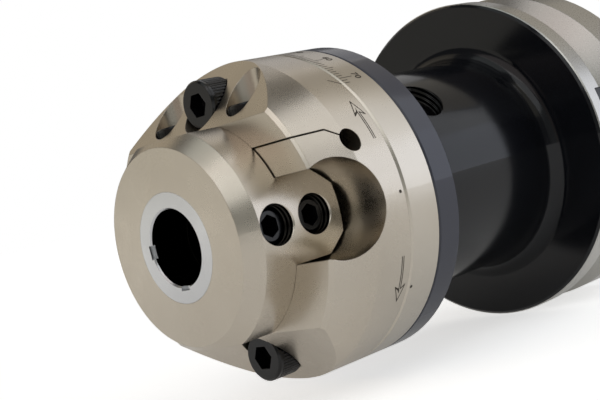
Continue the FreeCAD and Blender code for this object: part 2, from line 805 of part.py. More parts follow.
PAD_TOP = size("slit_height") - size("slit_width") / 2 + size("pad_height")
CLAMP_SEAT = size("clamp_head_top") - size("clamp_head_height")
CLAMP_Y = from_nose(size("clamp_from_nose"))
pads = []
for name, side in (("right", 1), ("left", -1)):
    x = size("clamp_spread") * side
    length = CLAMP_SEAT - PAD_TOP - size("tip_gap")
    screw = cap_screw("clamp_" + name, "clamp", length, (x, CLAMP_Y, CLAMP_SEAT), (0, 0, 1), 5)
    node(screw, "clamp_screw_" + name)
    base = (x, CLAMP_Y, PAD_TOP - size("pad_height"))
    pads.append(cylinder("pad_" + name, radius("clamp_diameter") - 0.1, size("pad_height"), base, (0, 0, 1)))
node(group("pad_pair", pads), "gib_pads")

PLUG_R = radius("plug_hole_diameter")
PLUG_FLOOR = NECK_R - size("plug_hole_depth")
plug = doc.addObject("Part::Cylinder", "plug_solid")
socket = doc.addObject("Part::Prism", "plug_socket")
socket.Polygon = 6
PLUG_START = PLUG_FLOOR + size("plug_start")
SOCKET_START = PLUG_START + size("plug_length") - size("plug_key_depth")
PLUG_PARTS = (
    (plug, PLUG_START, size("plug_length")),
    (socket, SOCKET_START, size("plug_key_depth") + 1),
)
for item, start, height in PLUG_PARTS:
    item.Placement = Placement(Vector(), Rotation(Vector(0, 1, 0), 90 - angle))
    for letter, call in (("x", "cos"), ("z", "sin")):
        text = "{} * {}(Sizes.plug_hole_angle * 1 deg)".format(start.text, call)
        item.setExpression(".Placement.Base." + letter, text)
    item.setExpression(".Placement.Base.y", PLUG_Y.text)
    item.setExpression(".Placement.Rotation.Angle", "90 deg - Sizes.plug_hole_angle * 1 deg")
    item.setExpression("Height", height.text)
plug.setExpression("Radius", (PLUG_R - 0.02).text)
socket.setExpression("Circumradius", "Sizes.plug_key / sqrt(3)")
node(subtract("plug_screw", plug, socket), "neck_plug")

# ---------------------------------------------------------------- drive of the slide

bar = new_body("cam_bar")
BAR_BACK = SPIGOT - size("ring_gap")
BAR_FRONT = BAR_FLOOR + size("ring_gap")


def draw_bar(sketch):
    corner = Size(1.5)
    left = -size("bar_outer_end")
    right = size("bar_inner_end")
    draw_polygon(sketch, [
        (left, -(BAR_HALF - corner)),
        (left + corner, -BAR_HALF),
        (right, -BAR_HALF),
        (right, BAR_HALF),
        (left + corner, BAR_HALF),
        (left, BAR_HALF - corner),
    ])


bar_sketch = new_sketch(bar, "bar_outline", "XZ_Plane", -BAR_BACK)
draw_bar(bar_sketch)
bar_pad = bar.newObject("PartDesign::Pad", "bar_pad")
bar_pad.Profile = bar_sketch
bar_pad.setExpression("Length", (BAR_BACK - BAR_FRONT).text)
doc.recompute()


def draw_bar_pins(sketch):
    for name in ("pin_near", "pin_far"):
        draw_circle(sketch, -size(name), ZERO, radius("pin_diameter"))


def draw_button_hole(sketch):
    draw_circle(sketch, CAM, ZERO, radius("button_diameter"))


pocket(bar, "bar_pin_holes", "XZ_Plane", draw_bar_pins)
BUTTON_BASE = -(size("bar_outer_end") - size("button_depth"))
pocket(bar, "button_hole", "YZ_Plane", draw_button_hole, BUTTON_BASE, Size(12))
node(bar, "cam_bar")

PIN_START = PIN_BOTTOM
PIN_LENGTH = BAR_BACK - PIN_START - 0.5
pins = []
for name in ("pin_near", "pin_far"):
    base = (-size(name), PIN_START, ZERO)
    pins.append(cylinder(name, radius("pin_diameter") - 0.01, PIN_LENGTH, base, (0, 1, 0)))
node(group("pin_pair", pins), "drive_pins")

BUTTON_R = radius("button_diameter") - 0.01
BUTTON_TIP = size("cam_rest_radius") - size("ring_gap") * 2
BUTTON_BEVEL = Size(1)
button_start = (BUTTON_BASE, CAM, ZERO)
button_length = BUTTON_TIP + BUTTON_BASE - BUTTON_BEVEL
button_rim = moved(button_start, (-1, 0, 0), button_length)
button = fuse("button_solid", [
    cylinder("button_stem", BUTTON_R, button_length, button_start, (-1, 0, 0)),
    cone("button_rim", BUTTON_R, BUTTON_R - BUTTON_BEVEL, BUTTON_BEVEL, button_rim, (-1, 0, 0)),
])
node(button, "cam_button")

plungers = []
plunger_pins = []
for name, side in (("upper", 1), ("lower", -1)):
    z = size("plunger_spread") * side
    start = (GROOVE_END, PLUNGER_Y, z)
    shell = cylinder("plunger_" + name, radius("plunger_diameter") - 0.01, size("plunger_length"), start, (1, 0, 0))
    bore = cylinder(
        "plunger_bore_" + name,
        radius("plunger_pin_diameter") + size("slide_gap"),
        size("plunger_pin_depth") + 2,
        start,
        (1, 0, 0),
    )
    plungers.append(subtract("plunger_body_" + name, shell, bore))
    pin_base = (size("bar_inner_end"), PLUNGER_Y, z)
    pin_length = GROOVE_END - size("bar_inner_end") + size("plunger_pin_depth")
    plunger_pins.append(
        cylinder("plunger_pin_" + name, radius("plunger_pin_diameter"), pin_length, pin_base, (1, 0, 0))
    )
node(group("plunger_body_pair", plungers), "plunger_bodies")
node(group("plunger_pin_pair", plunger_pins), "plunger_pins")

dowels = []
for name, side in (("upper", 1), ("lower", -1)):
    offset = size("dowel_offset") * side
    base = (offset, COLLAR - size("dowel_depth") + 0.2, offset)
    length = size("dowel_depth") * 2 - 0.4
    dowels.append(cylinder("dowel_" + name, radius("dowel_diameter") - 0.01, length, base, (0, 1, 0)))
node(group("dowel_pair", dowels), "dowel_pins")

seal = new_body("ring_seal")
SEAL_GAP = Size(0.02)
revolve(seal, "seal_turning", [
    (HUB_R - size("seal_section"), SEAL_Y - SEAL_HALF),
    (HUB_R - SEAL_GAP, SEAL_Y - SEAL_HALF),
    (HUB_R - SEAL_GAP, SEAL_Y + SEAL_HALF),
    (HUB_R - size("seal_section"), SEAL_Y + SEAL_HALF),
])
node(seal, "ring_seal")

WASHER_OUT = radius("washer_outer_diameter")
WASHER_IN = radius("washer_inner_diameter")
washer_base = (ZERO, COLLAR - size("washer_thickness"), ZERO)
washer_disc = cylinder("washer_disc", WASHER_OUT, size("washer_thickness"), washer_base, (0, 1, 0))
washer_hole = cylinder("washer_hole", WASHER_IN, size("washer_thickness"), washer_base, (0, 1, 0))
node(subtract("washer_ring", washer_disc, washer_hole), "friction_washer")

# ---------------------------------------------------------------- dial ring

# The ring is turned, then its bore gets a cam groove. Over the scale its floor is an
# Archimedean spiral, so that the slide moves by the same amount per graduation.
# Beyond the scale a hollow lets the slide back, and the rest leads round to reading 0.


def turned(points):
    """A solid turned about the tool axis from (radius, Y) numbers."""
    vectors = [Vector(r, y, 0) for r, y in points]
    face = Part.Face(Part.makePolygon(vectors + vectors[:1]))
    return face.revolve(Vector(0, 0, 0), Vector(0, 1, 0), 360)


def cam_radius(turn):
    """Radius of the cam at the button once the ring has turned from rest by these degrees."""
    rest = size("cam_rest_radius").number
    pitch = size("cam_pitch").number
    scale = size("scale_turn").number
    retract = size("retract_turn").number
    if turn <= 0:
        return rest - pitch * turn / 360
    if turn < retract:
        return rest + size("retract_depth").number * math.sin(math.pi * turn / retract) ** 2
    back = (turn - retract) / (360 - scale - retract)
    return rest + pitch * scale / 360 * math.sin(math.pi * back / 2) ** 2


def cam_cutter(front, width):
    """The prism between the tool axis and the floor of the cam."""
    steps = 50
    points = []
    for step in range(steps):
        turn = 360 * step / steps - size("scale_turn").number
        angle = math.radians(180 - turn)
        r = cam_radius(turn)
        points.append(Vector(r * math.cos(angle), front, r * math.sin(angle)))
    floor = Part.BSplineCurve()
    floor.interpolate(points, PeriodicFlag=True)
    return Part.Face(Part.Wire(floor.toShape())).extrude(Vector(0, width, 0))


ring_front = (HEAD_BACK + size("ring_gap")).number
ring_back = (COLLAR - size("ring_gap")).number
ring_r = HEAD_R.number
ring_bore = (HUB_R + size("ring_gap") / 2).number
chamfer = size("ring_chamfer").number
edge = BREAK.number
seat_floor = (COLLAR - size("washer_thickness") - size("ring_gap") * 2).number
ring_shape = turned([
    (ring_bore, ring_front),
    (ring_r - chamfer, ring_front),
    (ring_r, ring_front + chamfer),
    (ring_r, ring_back - edge),
    (ring_r - edge, ring_back),
    (WASHER_OUT.number + 0.2, ring_back),
    (WASHER_OUT.number + 0.2, seat_floor),
    (WASHER_IN.number - 0.2, seat_floor),
    (WASHER_IN.number - 0.2, ring_back),
    (ring_bore, ring_back),
])
cam_width = size("cam_width").number
cam_front = CAM.number - cam_width / 2
cam = cam_cutter(cam_front, cam_width)
ring = doc.addObject("Part::Feature", "dial_ring")
ring.Shape = ring_shape.cut(cam)
node(ring, "dial_ring")

# ---------------------------------------------------------------- output

doc.recompute()
for item in doc.Objects:
    if "Invalid" in item.State or "Error" in item.State:
        raise RuntimeError("{} is in error".format(item.Name))

os.makedirs("parts", exist_ok=True)
for item in NODES:
    shape = item.Shape
    if shape.isNull() or not shape.isValid():
        raise RuntimeError("{} is not valid".format(item.Label))
    shape.exportStep("parts/{}.step".format(item.Label))
    print(item.Label, len(shape.Solids), round(shape.Volume, 1))
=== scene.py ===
"""Looks of a fine boring head on a BT50 taper shank.

Lengths are in metres. The tool axis is Y, the nose points to -Y, +X is the way the tool slide
moves out and +Z is up. The CAD nodes keep their shapes. This file adds their finishes, the
engraved marks, the knurls of the screw heads, and the studio.
"""

import logging
import math
from dataclasses import dataclass, field
from enum import Enum

import bmesh
import bpy
from bmesh.types import BMesh
from bpy.types import Material, Mesh, Node, NodeSocket, NodeTree, Object
from mathutils import Matrix, Vector


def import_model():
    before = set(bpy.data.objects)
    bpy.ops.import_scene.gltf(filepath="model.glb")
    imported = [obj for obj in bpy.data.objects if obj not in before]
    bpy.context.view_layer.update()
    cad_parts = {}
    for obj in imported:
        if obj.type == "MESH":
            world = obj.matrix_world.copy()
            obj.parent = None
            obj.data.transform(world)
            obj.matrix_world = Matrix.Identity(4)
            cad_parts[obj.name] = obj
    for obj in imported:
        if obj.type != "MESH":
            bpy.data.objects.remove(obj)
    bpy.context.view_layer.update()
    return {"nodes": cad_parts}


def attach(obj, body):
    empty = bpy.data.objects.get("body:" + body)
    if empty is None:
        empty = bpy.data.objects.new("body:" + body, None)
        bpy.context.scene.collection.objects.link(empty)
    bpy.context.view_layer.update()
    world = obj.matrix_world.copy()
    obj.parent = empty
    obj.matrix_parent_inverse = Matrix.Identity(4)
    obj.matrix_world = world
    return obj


log = logging.getLogger("boring_head")

MM = 0.001
NOSE_Y = -157.5 * MM
HEAD_RADIUS = 43.6 * MM
MARK_LIFT = 0.02 * MM
RIBBON_STEP = 1.5 * MM
DOT_RADIUS = 0.45 * MM
DOT_CORNERS = 20
FONT_SHARE = 1.4  # size of the built-in font over the height of its digits
STROKE_SHARE = 0.03  # what a digit's strokes gain on each side, over its height
TWO_NOISES = (0.6, 1.4)  # where the sum of two noises nearly always lies


class Body(Enum):
    """The bodies that added pieces ride on."""

    HEAD = "head"
    DIAL = "dial"
    RIGHT_CLAMP = "right_clamp_screw"
    LEFT_CLAMP = "left_clamp_screw"


class Slot(Enum):
    """The record's material slots."""

    NICKEL = "nickel_plated_steel"
    SCREW = "screw_steel"


def to_linear(hex_colour: str) -> tuple[float, float, float, float]:
    """Turns an sRGB hex colour into linear RGBA.

    Args:
        hex_colour: Six hex digits with a leading hash.

    Returns:
        Linear red, green, blue and an alpha of 1.
    """
    values = [int(hex_colour[i : i + 2], 16) / 255 for i in (1, 3, 5)]
    linear = [v / 12.92 if v <= 0.04045 else ((v + 0.055) / 1.055) ** 2.4 for v in values]
    return (*linear, 1.0)


def add_node(
    tree: NodeTree,
    kind: str,
    inputs: dict[str | int, object] | None = None,
    **settings: object,
) -> Node:
    """Adds a node, sets its properties, and fills or links its input sockets.

    Args:
        tree: The node tree that gets the node.
        kind: The node's type identifier.
        inputs: Socket name or index to a value, or to the output socket to link.
        **settings: Properties of the node itself.

    Returns:
        The new node.
    """
    node = tree.nodes.new(kind)
    for name, value in settings.items():
        setattr(node, name, value)
    for key, value in (inputs or {}).items():
        socket = node.inputs[key]
        if isinstance(value, NodeSocket):
            tree.links.new(value, socket)
        else:
            socket.default_value = value
    return node


def math_chain(tree: NodeTree, start: NodeSocket, steps: tuple[tuple[str, object], ...]) -> NodeSocket:
    """Runs a value through a row of Math operations.

    Args:
        tree: The node tree.
        start: The value that enters the row.
        steps: Pairs of an operation and its second operand.

    Returns:
        The last operation's output.
    """
    value = start
    for operation, operand in steps:
        inputs = {0: value} if operand is None else {0: value, 1: operand}
        value = add_node(tree, "ShaderNodeMath", inputs, operation=operation).outputs[0]
    return value


def axis_distance(tree: NodeTree, axes: Node) -> NodeSocket:
    """Works out the distance from the tool axis.

    Args:
        tree: The material's node tree.
        axes: The node that splits the place into X, Y and Z.

    Returns:
        The distance.
    """
    square_z = math_chain(tree, axes.outputs["Z"], (("POWER", 2.0),))
    return math_chain(tree, axes.outputs["X"], (("POWER", 2.0), ("ADD", square_z), ("SQRT", None)))


# ---- finishes


@dataclass(frozen=True)
class ShadedHole:
    """A hole whose wall gets painted shade, a darker colour for the shade inside it, tapped or smooth.

    Attributes:
        centre: A point on the hole's axis.
        axis: The hole's direction.
        radius: Just over the radius of its wall.
        start: Where the wall begins, along the axis from the centre.
        pitch: The thread's pitch, or 0 for a smooth hole.
        thread_share: Depth of the thread as a share of its pitch, about half the real one's.
    """

    centre: tuple[float, float, float]
    axis: tuple[float, float, float]
    radius: float
    start: float
    pitch: float = 0.0
    thread_share: float = 0.3


@dataclass(frozen=True)
class SteelFinish:
    """A steel surface: its colour, its gloss and the marks of how it was made.

    Attributes:
        name: The finish in a maker's words.
        colour: sRGB of the clean surface.
        worn_colour: sRGB of the slightly different tone that drifts over it.
        roughness: Lowest roughness.
        roughness_spread: What the fine grain adds to it.
        lay_pitch: Distance between the turning marks.
        lay_height: Depth of the turning marks.
        grain: Size of the fine grain.
        grain_height: Depth of the fine grain.
        edge: Radius of the softened edges.
        metallic: 1 for bare or plated metal, 0 for a dark oxide that covers it.
        specular: Specular level of the oxide.
        holes: Holes whose walls get painted shade.
        hole_shade_colour: sRGB of the painted shade on those walls.
        milled_until: Y up to which faces carry the straight lines of a milling cutter.
        milled_pitch: Distance between those lines, coarser than the cutter's, which would not show.
        milled_height: Their depth.
        milled_stretch: How much shorter the pattern is across the lines than along them.
        drift: Size of the patches of worn colour.
        smear: Size of the wider changes in gloss.
    """

    name: str
    colour: str
    worn_colour: str
    roughness: float
    roughness_spread: float
    lay_pitch: float = 0.35 * MM
    lay_height: float = 0.001 * MM
    grain: float = 0.25 * MM
    grain_height: float = 0.00012 * MM
    edge: float = 0.25 * MM
    metallic: float = 1.0
    specular: float = 0.5
    holes: tuple[ShadedHole, ...] = ()
    hole_shade_colour: str = "#2A2825"
    milled_until: float | None = None
    milled_pitch: float = 0.5 * MM
    milled_height: float = 0.004 * MM
    milled_stretch: float = 0.04
    drift: float = 15 * MM
    smear: float = 8 * MM

    def material(self) -> Material:
        """Builds the finish as a new material.

        Returns:
            The material.
        """
        made = bpy.data.materials.new(self.name)
        made.use_nodes = True
        tree = made.node_tree
        tree.nodes.clear()
        place = add_node(tree, "ShaderNodeTexCoord").outputs["Object"]
        shader = add_node(
            tree,
            "ShaderNodeBsdfPrincipled",
            {
                "Metallic": self.metallic,
                "Specular IOR Level": self.specular,
                "Base Color": self._colour(tree, place),
                "Roughness": self._roughness(tree, place),
                "Normal": self._relief(tree, place),
            },
        )
        add_node(tree, "ShaderNodeOutputMaterial", {"Surface": shader.outputs[0]})
        return made

    def _colour(self, tree: NodeTree, place: NodeSocket) -> NodeSocket:
        """Lets the tone drift, as plating and oxide baths leave it, and paints shade onto the walls of
        the holes.

        Args:
            tree: The material's node tree.
            place: The place on the object.

        Returns:
            The colour.
        """
        pattern = {"Vector": place, "Scale": 1 / self.drift, "Detail": 3.0}
        patches = add_node(tree, "ShaderNodeTexNoise", pattern)
        mix = add_node(
            tree,
            "ShaderNodeMix",
            {0: patches.outputs["Fac"], 6: to_linear(self.colour), 7: to_linear(self.worn_colour)},
            data_type="RGBA",
        )
        colour = mix.outputs[2]
        # Painted shade: the walls of the holes take a darker colour where shade falls inside them.
        for hole in self.holes:
            inside, _ = self._in_hole(tree, place, hole)
            shade = add_node(
                tree,
                "ShaderNodeMix",
                {0: inside, 6: colour, 7: to_linear(self.hole_shade_colour)},
                data_type="RGBA",
            )
            colour = shade.outputs[2]
        return colour

    def _roughness(self, tree: NodeTree, place: NodeSocket) -> NodeSocket:
        """Varies the gloss with the grain and with wider smears.

        Args:
            tree: The material's node tree.
            place: The place on the object.

        Returns:
            The roughness.
        """
        fine, wide = (
            add_node(tree, "ShaderNodeTexNoise", {"Vector": place, "Scale": 1 / size, "Detail": detail})
            for size, detail in ((self.grain, 2.0), (self.smear, 4.0))
        )
        both = add_node(
            tree,
            "ShaderNodeMath",
            {0: fine.outputs["Fac"], 1: wide.outputs["Fac"]},
            operation="ADD",
        )
        low, high = TWO_NOISES
        span = add_node(
            tree,
            "ShaderNodeMapRange",
            {
                "Value": both.outputs[0],
                "From Min": low,
                "From Max": high,
                "To Min": self.roughness,
                "To Max": self.roughness + self.roughness_spread,
            },
        )
        return span.outputs["Result"]

    def _relief(self, tree: NodeTree, place: NodeSocket) -> NodeSocket:
        """Combines soft edges, turning marks, fine grain, milled lines and threads.

        Args:
            tree: The material's node tree.
            place: The place on the object.

        Returns:
            The normal.
        """
        soft = add_node(tree, "ShaderNodeBevel", {"Radius": self.edge}, samples=4)
        normal = soft.outputs[0]
        axes = add_node(tree, "ShaderNodeSeparateXYZ", {0: place})
        distance = axis_distance(tree, axes)
        rings = add_node(tree, "ShaderNodeCombineXYZ", {"X": distance, "Y": axes.outputs["Y"]})
        lay = add_node(
            tree,
            "ShaderNodeTexNoise",
            {"Vector": rings.outputs[0], "Scale": 1 / self.lay_pitch, "Detail": 2.0},
        )
        normal = self._bump(tree, lay.outputs["Fac"], self.lay_height, normal)
        pattern = {"Vector": place, "Scale": 1 / self.grain, "Detail": 2.0}
        grain = add_node(tree, "ShaderNodeTexNoise", pattern)
        normal = self._bump(tree, grain.outputs["Fac"], self.grain_height, normal)
        if self.milled_until is not None:
            normal = self._bump(tree, self._milling(tree, axes), self.milled_height, normal)
        for hole in self.holes:
            if hole.pitch > 0:
                inside, along = self._in_hole(tree, place, hole)
                turns = (("MULTIPLY", math.tau / hole.pitch), ("SINE", None), ("MULTIPLY", inside))
                thread = math_chain(tree, along, turns)
                normal = self._bump(tree, thread, hole.pitch * hole.thread_share, normal)
        return normal

    def _milling(self, tree: NodeTree, axes: Node) -> NodeSocket:
        """Draws long lines along X on the faces in front of milled_until.

        Args:
            tree: The material's node tree.
            axes: The node that splits the place into X, Y and Z.

        Returns:
            The lines' height, from 0 to 1.
        """
        along = math_chain(tree, axes.outputs["X"], (("MULTIPLY", self.milled_stretch),))
        stretched = add_node(tree, "ShaderNodeCombineXYZ", {"X": along, "Y": axes.outputs["Z"]})
        lines = add_node(
            tree,
            "ShaderNodeTexNoise",
            {"Vector": stretched.outputs[0], "Scale": 1 / self.milled_pitch, "Detail": 2.0},
        )
        front = math_chain(tree, axes.outputs["Y"], (("LESS_THAN", self.milled_until),))
        return math_chain(tree, lines.outputs["Fac"], (("MULTIPLY", front),))

    @staticmethod
    def _bump(tree: NodeTree, height: NodeSocket, distance: float, normal: NodeSocket) -> NodeSocket:
        """Lays a relief on top of a normal.

        Args:
            tree: The material's node tree.
            height: The relief, as a share of its depth.
            distance: Its depth.
            normal: The normal under it.

        Returns:
            The new normal.
        """
        bump = add_node(
            tree,
            "ShaderNodeBump",
            {"Strength": 1.0, "Distance": distance, "Height": height, "Normal": normal},
        )
        return bump.outputs[0]

    @staticmethod
    def _in_hole(tree: NodeTree, place: NodeSocket, hole: ShadedHole) -> tuple[NodeSocket, NodeSocket]:
        """Tells the wall of a hole from the rest.

        Args:
            tree: The material's node tree.
            place: The place on the object.
            hole: The hole.

        Returns:
            1 on the hole's wall and 0 elsewhere, and the place along its axis.
        """
        offset = add_node(
            tree,
            "ShaderNodeVectorMath",
            {0: place, 1: hole.centre},
            operation="SUBTRACT",
        ).outputs["Vector"]
        along = add_node(
            tree,
            "ShaderNodeVectorMath",
            {0: offset, 1: Vector(hole.axis).normalized()},
            operation="DOT_PRODUCT",
        ).outputs["Value"]
        length = add_node(tree, "ShaderNodeVectorMath", {0: offset}, operation="LENGTH").outputs["Value"]
        square = math_chain(tree, along, (("POWER", 2.0),))
        across = (("POWER", 2.0), ("SUBTRACT", square), ("SQRT", None), ("LESS_THAN", hole.radius))
        inside = math_chain(tree, length, across)
        return math_chain(tree, along, (("GREATER_THAN", hole.start), ("MULTIPLY", inside))), along


# Holes whose walls get painted shade: the tool's bore, its two tapped screw holes and the tapped hole in
# the neck.
TOOL_BORE = ShadedHole(centre=(0, NOSE_Y, 0), axis=(0, 1, 0), radius=10.04 * MM, start=0.45 * MM)
TOOL_SCREW_HOLES = tuple(
    ShadedHole(
        centre=(0, NOSE_Y + behind_nose, 0),
        axis=(1, 0, 0),
        radius=5.2 * MM,
        start=12 * MM,
        pitch=1.5 * MM,
    )
    for behind_nose in (9.8 * MM, 22.5 * MM)
)
NECK_HOLE_ANGLE = math.radians(43)
NECK_HOLE = ShadedHole(
    centre=(0, NOSE_Y + 77.2 * MM, 0),
    axis=(math.cos(NECK_HOLE_ANGLE), 0, math.sin(NECK_HOLE_ANGLE)),
    radius=7.2 * MM,
    start=18 * MM,
    pitch=1.5 * MM,
)

# Electroless nickel over turned steel: a warm grey metal with a satin gloss. The turning marks
# are a tenth of this wide on the real one, which would not show.
CARRIER_PLATE = SteelFinish(
    name="satin electroless nickel plate",
    colour="#CDC5B8",
    worn_colour="#C3BAAC",
    roughness=0.24,
    roughness_spread=0.10,
    # The bore and the tapped tool screw holes get painted shade on their walls.
    holes=(TOOL_BORE, *TOOL_SCREW_HOLES),
)

# The head has the same plate, with a milled front face.
HEAD_PLATE = SteelFinish(
    name="satin nickel plate over a milled face",
    colour="#CDC5B8",
    worn_colour="#C3BAAC",
    roughness=0.24,
    roughness_spread=0.10,
    milled_until=NOSE_Y + 14.7 * MM,
)

# The dial ring has the same plate, on a finer turned surface.
DIAL_PLATE = SteelFinish(
    name="satin nickel plate on the dial",
    colour="#D0C9BD",
    worn_colour="#C8C0B3",
    roughness=0.26,
    roughness_spread=0.06,
    edge=0.15 * MM,
)

# Hardened and ground bearing steel: neutral, brighter and smoother than the nickel.
GROUND_STEEL = SteelFinish(
    name="hardened ground steel",
    colour="#D5D6D8",
    worn_colour="#C9CACC",
    roughness=0.2,
    roughness_spread=0.08,
    lay_pitch=0.25 * MM,
    edge=0.15 * MM,
    # The bore gets painted shade on its wall.
    holes=(TOOL_BORE,),
)

# Hot black oxide on alloy steel screws: near black, satin, a little oily.
SCREW_OXIDE = SteelFinish(
    name="black oxide on alloy steel",
    colour="#08080A",
    worn_colour="#0E0E11",
    roughness=0.12,
    roughness_spread=0.1,
    grain_height=0.001 * MM,
    metallic=0.0,
    specular=0.42,
)

# Turned bronze: the soft pads behind the clamp screws.
BRONZE = SteelFinish(
    name="turned bronze",
    colour="#C9A063",
    worn_colour="#B98C50",
    roughness=0.3,
    roughness_spread=0.1,
)

# Nitrile rubber: dark, matt, with moulding grain.
SEAL_RUBBER = SteelFinish(
    name="nitrile rubber",
    colour="#1B1B1B",
    worn_colour="#232323",
    roughness=0.6,
    roughness_spread=0.15,
    metallic=0.0,
    specular=0.4,
)

# Laser marking: a dark brown-grey burn in the nickel, without gloss.
LASER_MARK = SteelFinish(
    name="dark laser marking",
    colour="#3A342C",
    worn_colour="#4A4339",
    roughness=0.5,
    roughness_spread=0.2,
    grain=0.1 * MM,
    metallic=0.0,
    specular=0.3,
)


@dataclass(frozen=True)
class ShankFinish(SteelFinish):
    """Glossy black oxide, with the fit surfaces ground bright behind the flange's front rim.

    Attributes:
        ground_colour: sRGB of the ground steel.
        ground_gloss: Its lowest and highest roughness.
        ground_grain: Size of the grinding's grain, coarser than the real one, which would not show.
        ground_from: Y from which the outside is ground.
        key_half: Half the width of the milled key slots, which stay black.
        key_end: Y of the key slots' closed ends.
        gauge_face: Y of the flange's back face.
        bore_radius: Radius inside which the tail's hole stays black.
        collar_colour: sRGB of the collar, whose oxide is thinner and blue-grey.
        collar_back: Y of the collar's back face.
        collar_inside: Radius outside which the collar's own colour holds.
    """

    ground_colour: str = "#C4C2BD"
    ground_gloss: tuple[float, float] = (0.22, 0.36)
    ground_grain: float = 0.3 * MM
    ground_from: float = -37.3 * MM
    key_half: float = 12.95 * MM
    key_end: float = -33.1 * MM
    gauge_face: float = -2.9 * MM
    bore_radius: float = 12.6 * MM
    collar_colour: str = "#484A55"
    collar_back: float = NOSE_Y + 60.3 * MM
    collar_inside: float = 42.0 * MM

    def _colour(self, tree: NodeTree, place: NodeSocket) -> NodeSocket:
        """Adds the collar's thinner oxide to the colour of the shank.

        Args:
            tree: The material's node tree.
            place: The place on the object.

        Returns:
            The colour.
        """
        oxide = super()._colour(tree, place)
        axes = add_node(tree, "ShaderNodeSeparateXYZ", {0: place})
        distance = axis_distance(tree, axes)
        outside = math_chain(tree, distance, (("GREATER_THAN", self.collar_inside),))
        in_front = (("LESS_THAN", self.collar_back), ("MULTIPLY", outside))
        collar = math_chain(tree, axes.outputs["Y"], in_front)
        mix = add_node(
            tree,
            "ShaderNodeMix",
            {0: collar, 6: oxide, 7: to_linear(self.collar_colour)},
            data_type="RGBA",
        )
        return mix.outputs[2]

    def material(self) -> Material:
        """Builds the oxide, then mixes the ground steel in where it was ground.

        Returns:
            The material.
        """
        made = super().material()
        tree = made.node_tree
        black = next(n for n in tree.nodes if n.type == "BSDF_PRINCIPLED")
        output = next(n for n in tree.nodes if n.type == "OUTPUT_MATERIAL")
        place = next(n for n in tree.nodes if n.type == "TEX_COORD").outputs["Object"]
        smooth, dull = self.ground_gloss
        fine = add_node(
            tree,
            "ShaderNodeTexNoise",
            {"Vector": place, "Scale": 1 / self.ground_grain, "Detail": 2.0},
        )
        rough = add_node(
            tree,
            "ShaderNodeMapRange",
            {"Value": fine.outputs["Fac"], "To Min": smooth, "To Max": dull},
        )
        bright = add_node(
            tree,
            "ShaderNodeBsdfPrincipled",
            {
                "Metallic": 1.0,
                "Base Color": to_linear(self.ground_colour),
                "Roughness": rough.outputs["Result"],
                "Normal": black.inputs["Normal"].links[0].from_socket,
            },
        )
        mixed = add_node(
            tree,
            "ShaderNodeMixShader",
            {0: self._ground_mask(tree, place), 1: black.outputs[0], 2: bright.outputs[0]},
        )
        tree.links.new(mixed.outputs[0], output.inputs["Surface"])
        return made

    def _ground_mask(self, tree: NodeTree, place: NodeSocket) -> NodeSocket:
        """Tells the ground surfaces from the oxide.

        Args:
            tree: The material's node tree.
            place: The place on the object.

        Returns:
            1 on the ground surfaces and 0 on the oxide.
        """
        axes = add_node(tree, "ShaderNodeSeparateXYZ", {0: place})
        behind = math_chain(tree, axes.outputs["Y"], (("GREATER_THAN", self.ground_from),))
        between = math_chain(tree, axes.outputs["Z"], (("ABSOLUTE", None), ("LESS_THAN", self.key_half)))
        past_end = (("GREATER_THAN", self.key_end), ("MULTIPLY", between))
        open_key = math_chain(tree, axes.outputs["Y"], past_end)
        before_face = (("LESS_THAN", self.gauge_face), ("MULTIPLY", open_key))
        key = math_chain(tree, axes.outputs["Y"], before_face)
        hole = math_chain(tree, axis_distance(tree, axes), (("LESS_THAN", self.bore_radius),))
        black = math_chain(tree, key, (("MAXIMUM", hole),))
        inverse = add_node(tree, "ShaderNodeMath", {0: 1.0, 1: black}, operation="SUBTRACT")
        return math_chain(tree, behind, (("MULTIPLY", inverse.outputs[0]),))


SHANK_OXIDE = ShankFinish(
    name="polished black oxide on a forged shank",
    colour="#0D0E12",
    worn_colour="#14161B",
    roughness=0.1,
    roughness_spread=0.08,
    lay_height=0.0008 * MM,
    grain_height=0.001 * MM,
    edge=0.3 * MM,
    metallic=0.0,
    specular=0.36,
    # The neck's tapped hole gets near-black painted shade on its wall.
    holes=(NECK_HOLE,),
    hole_shade_colour="#08080A",
)


# ---- geometry helpers


def on_cylinder(arc: float, y: float, angle: float, radius: float) -> Vector:
    """Wraps a flat point on a cylinder about the tool axis.

    Args:
        arc: Distance from the line at angle, along the circumference, positive downwards.
        y: Place along the tool axis.
        angle: Degrees from +X towards +Z of the line that arc is measured from.
        radius: The cylinder's radius.

    Returns:
        The point in space.
    """
    turn = math.radians(angle) - arc / radius
    return Vector((radius * math.cos(turn), y, radius * math.sin(turn)))


def new_piece(name: str, mesh: Mesh, finish: Material) -> Object:
    """Links a mesh to the scene as an object with one material.

    Args:
        name: The object's name.
        mesh: Its mesh.
        finish: Its only material.

    Returns:
        The object.
    """
    mesh.materials.clear()
    mesh.materials.append(finish)
    piece = bpy.data.objects.new(name, mesh)
    bpy.context.scene.collection.objects.link(piece)
    return piece


def finish_mesh(built: BMesh, name: str) -> Mesh:
    """Turns a mesh under construction into a finished one and frees it.

    Args:
        built: The mesh under construction.
        name: The finished mesh's name.

    Returns:
        The finished mesh.
    """
    mesh = bpy.data.meshes.new(name)
    built.to_mesh(mesh)
    built.free()
    return mesh


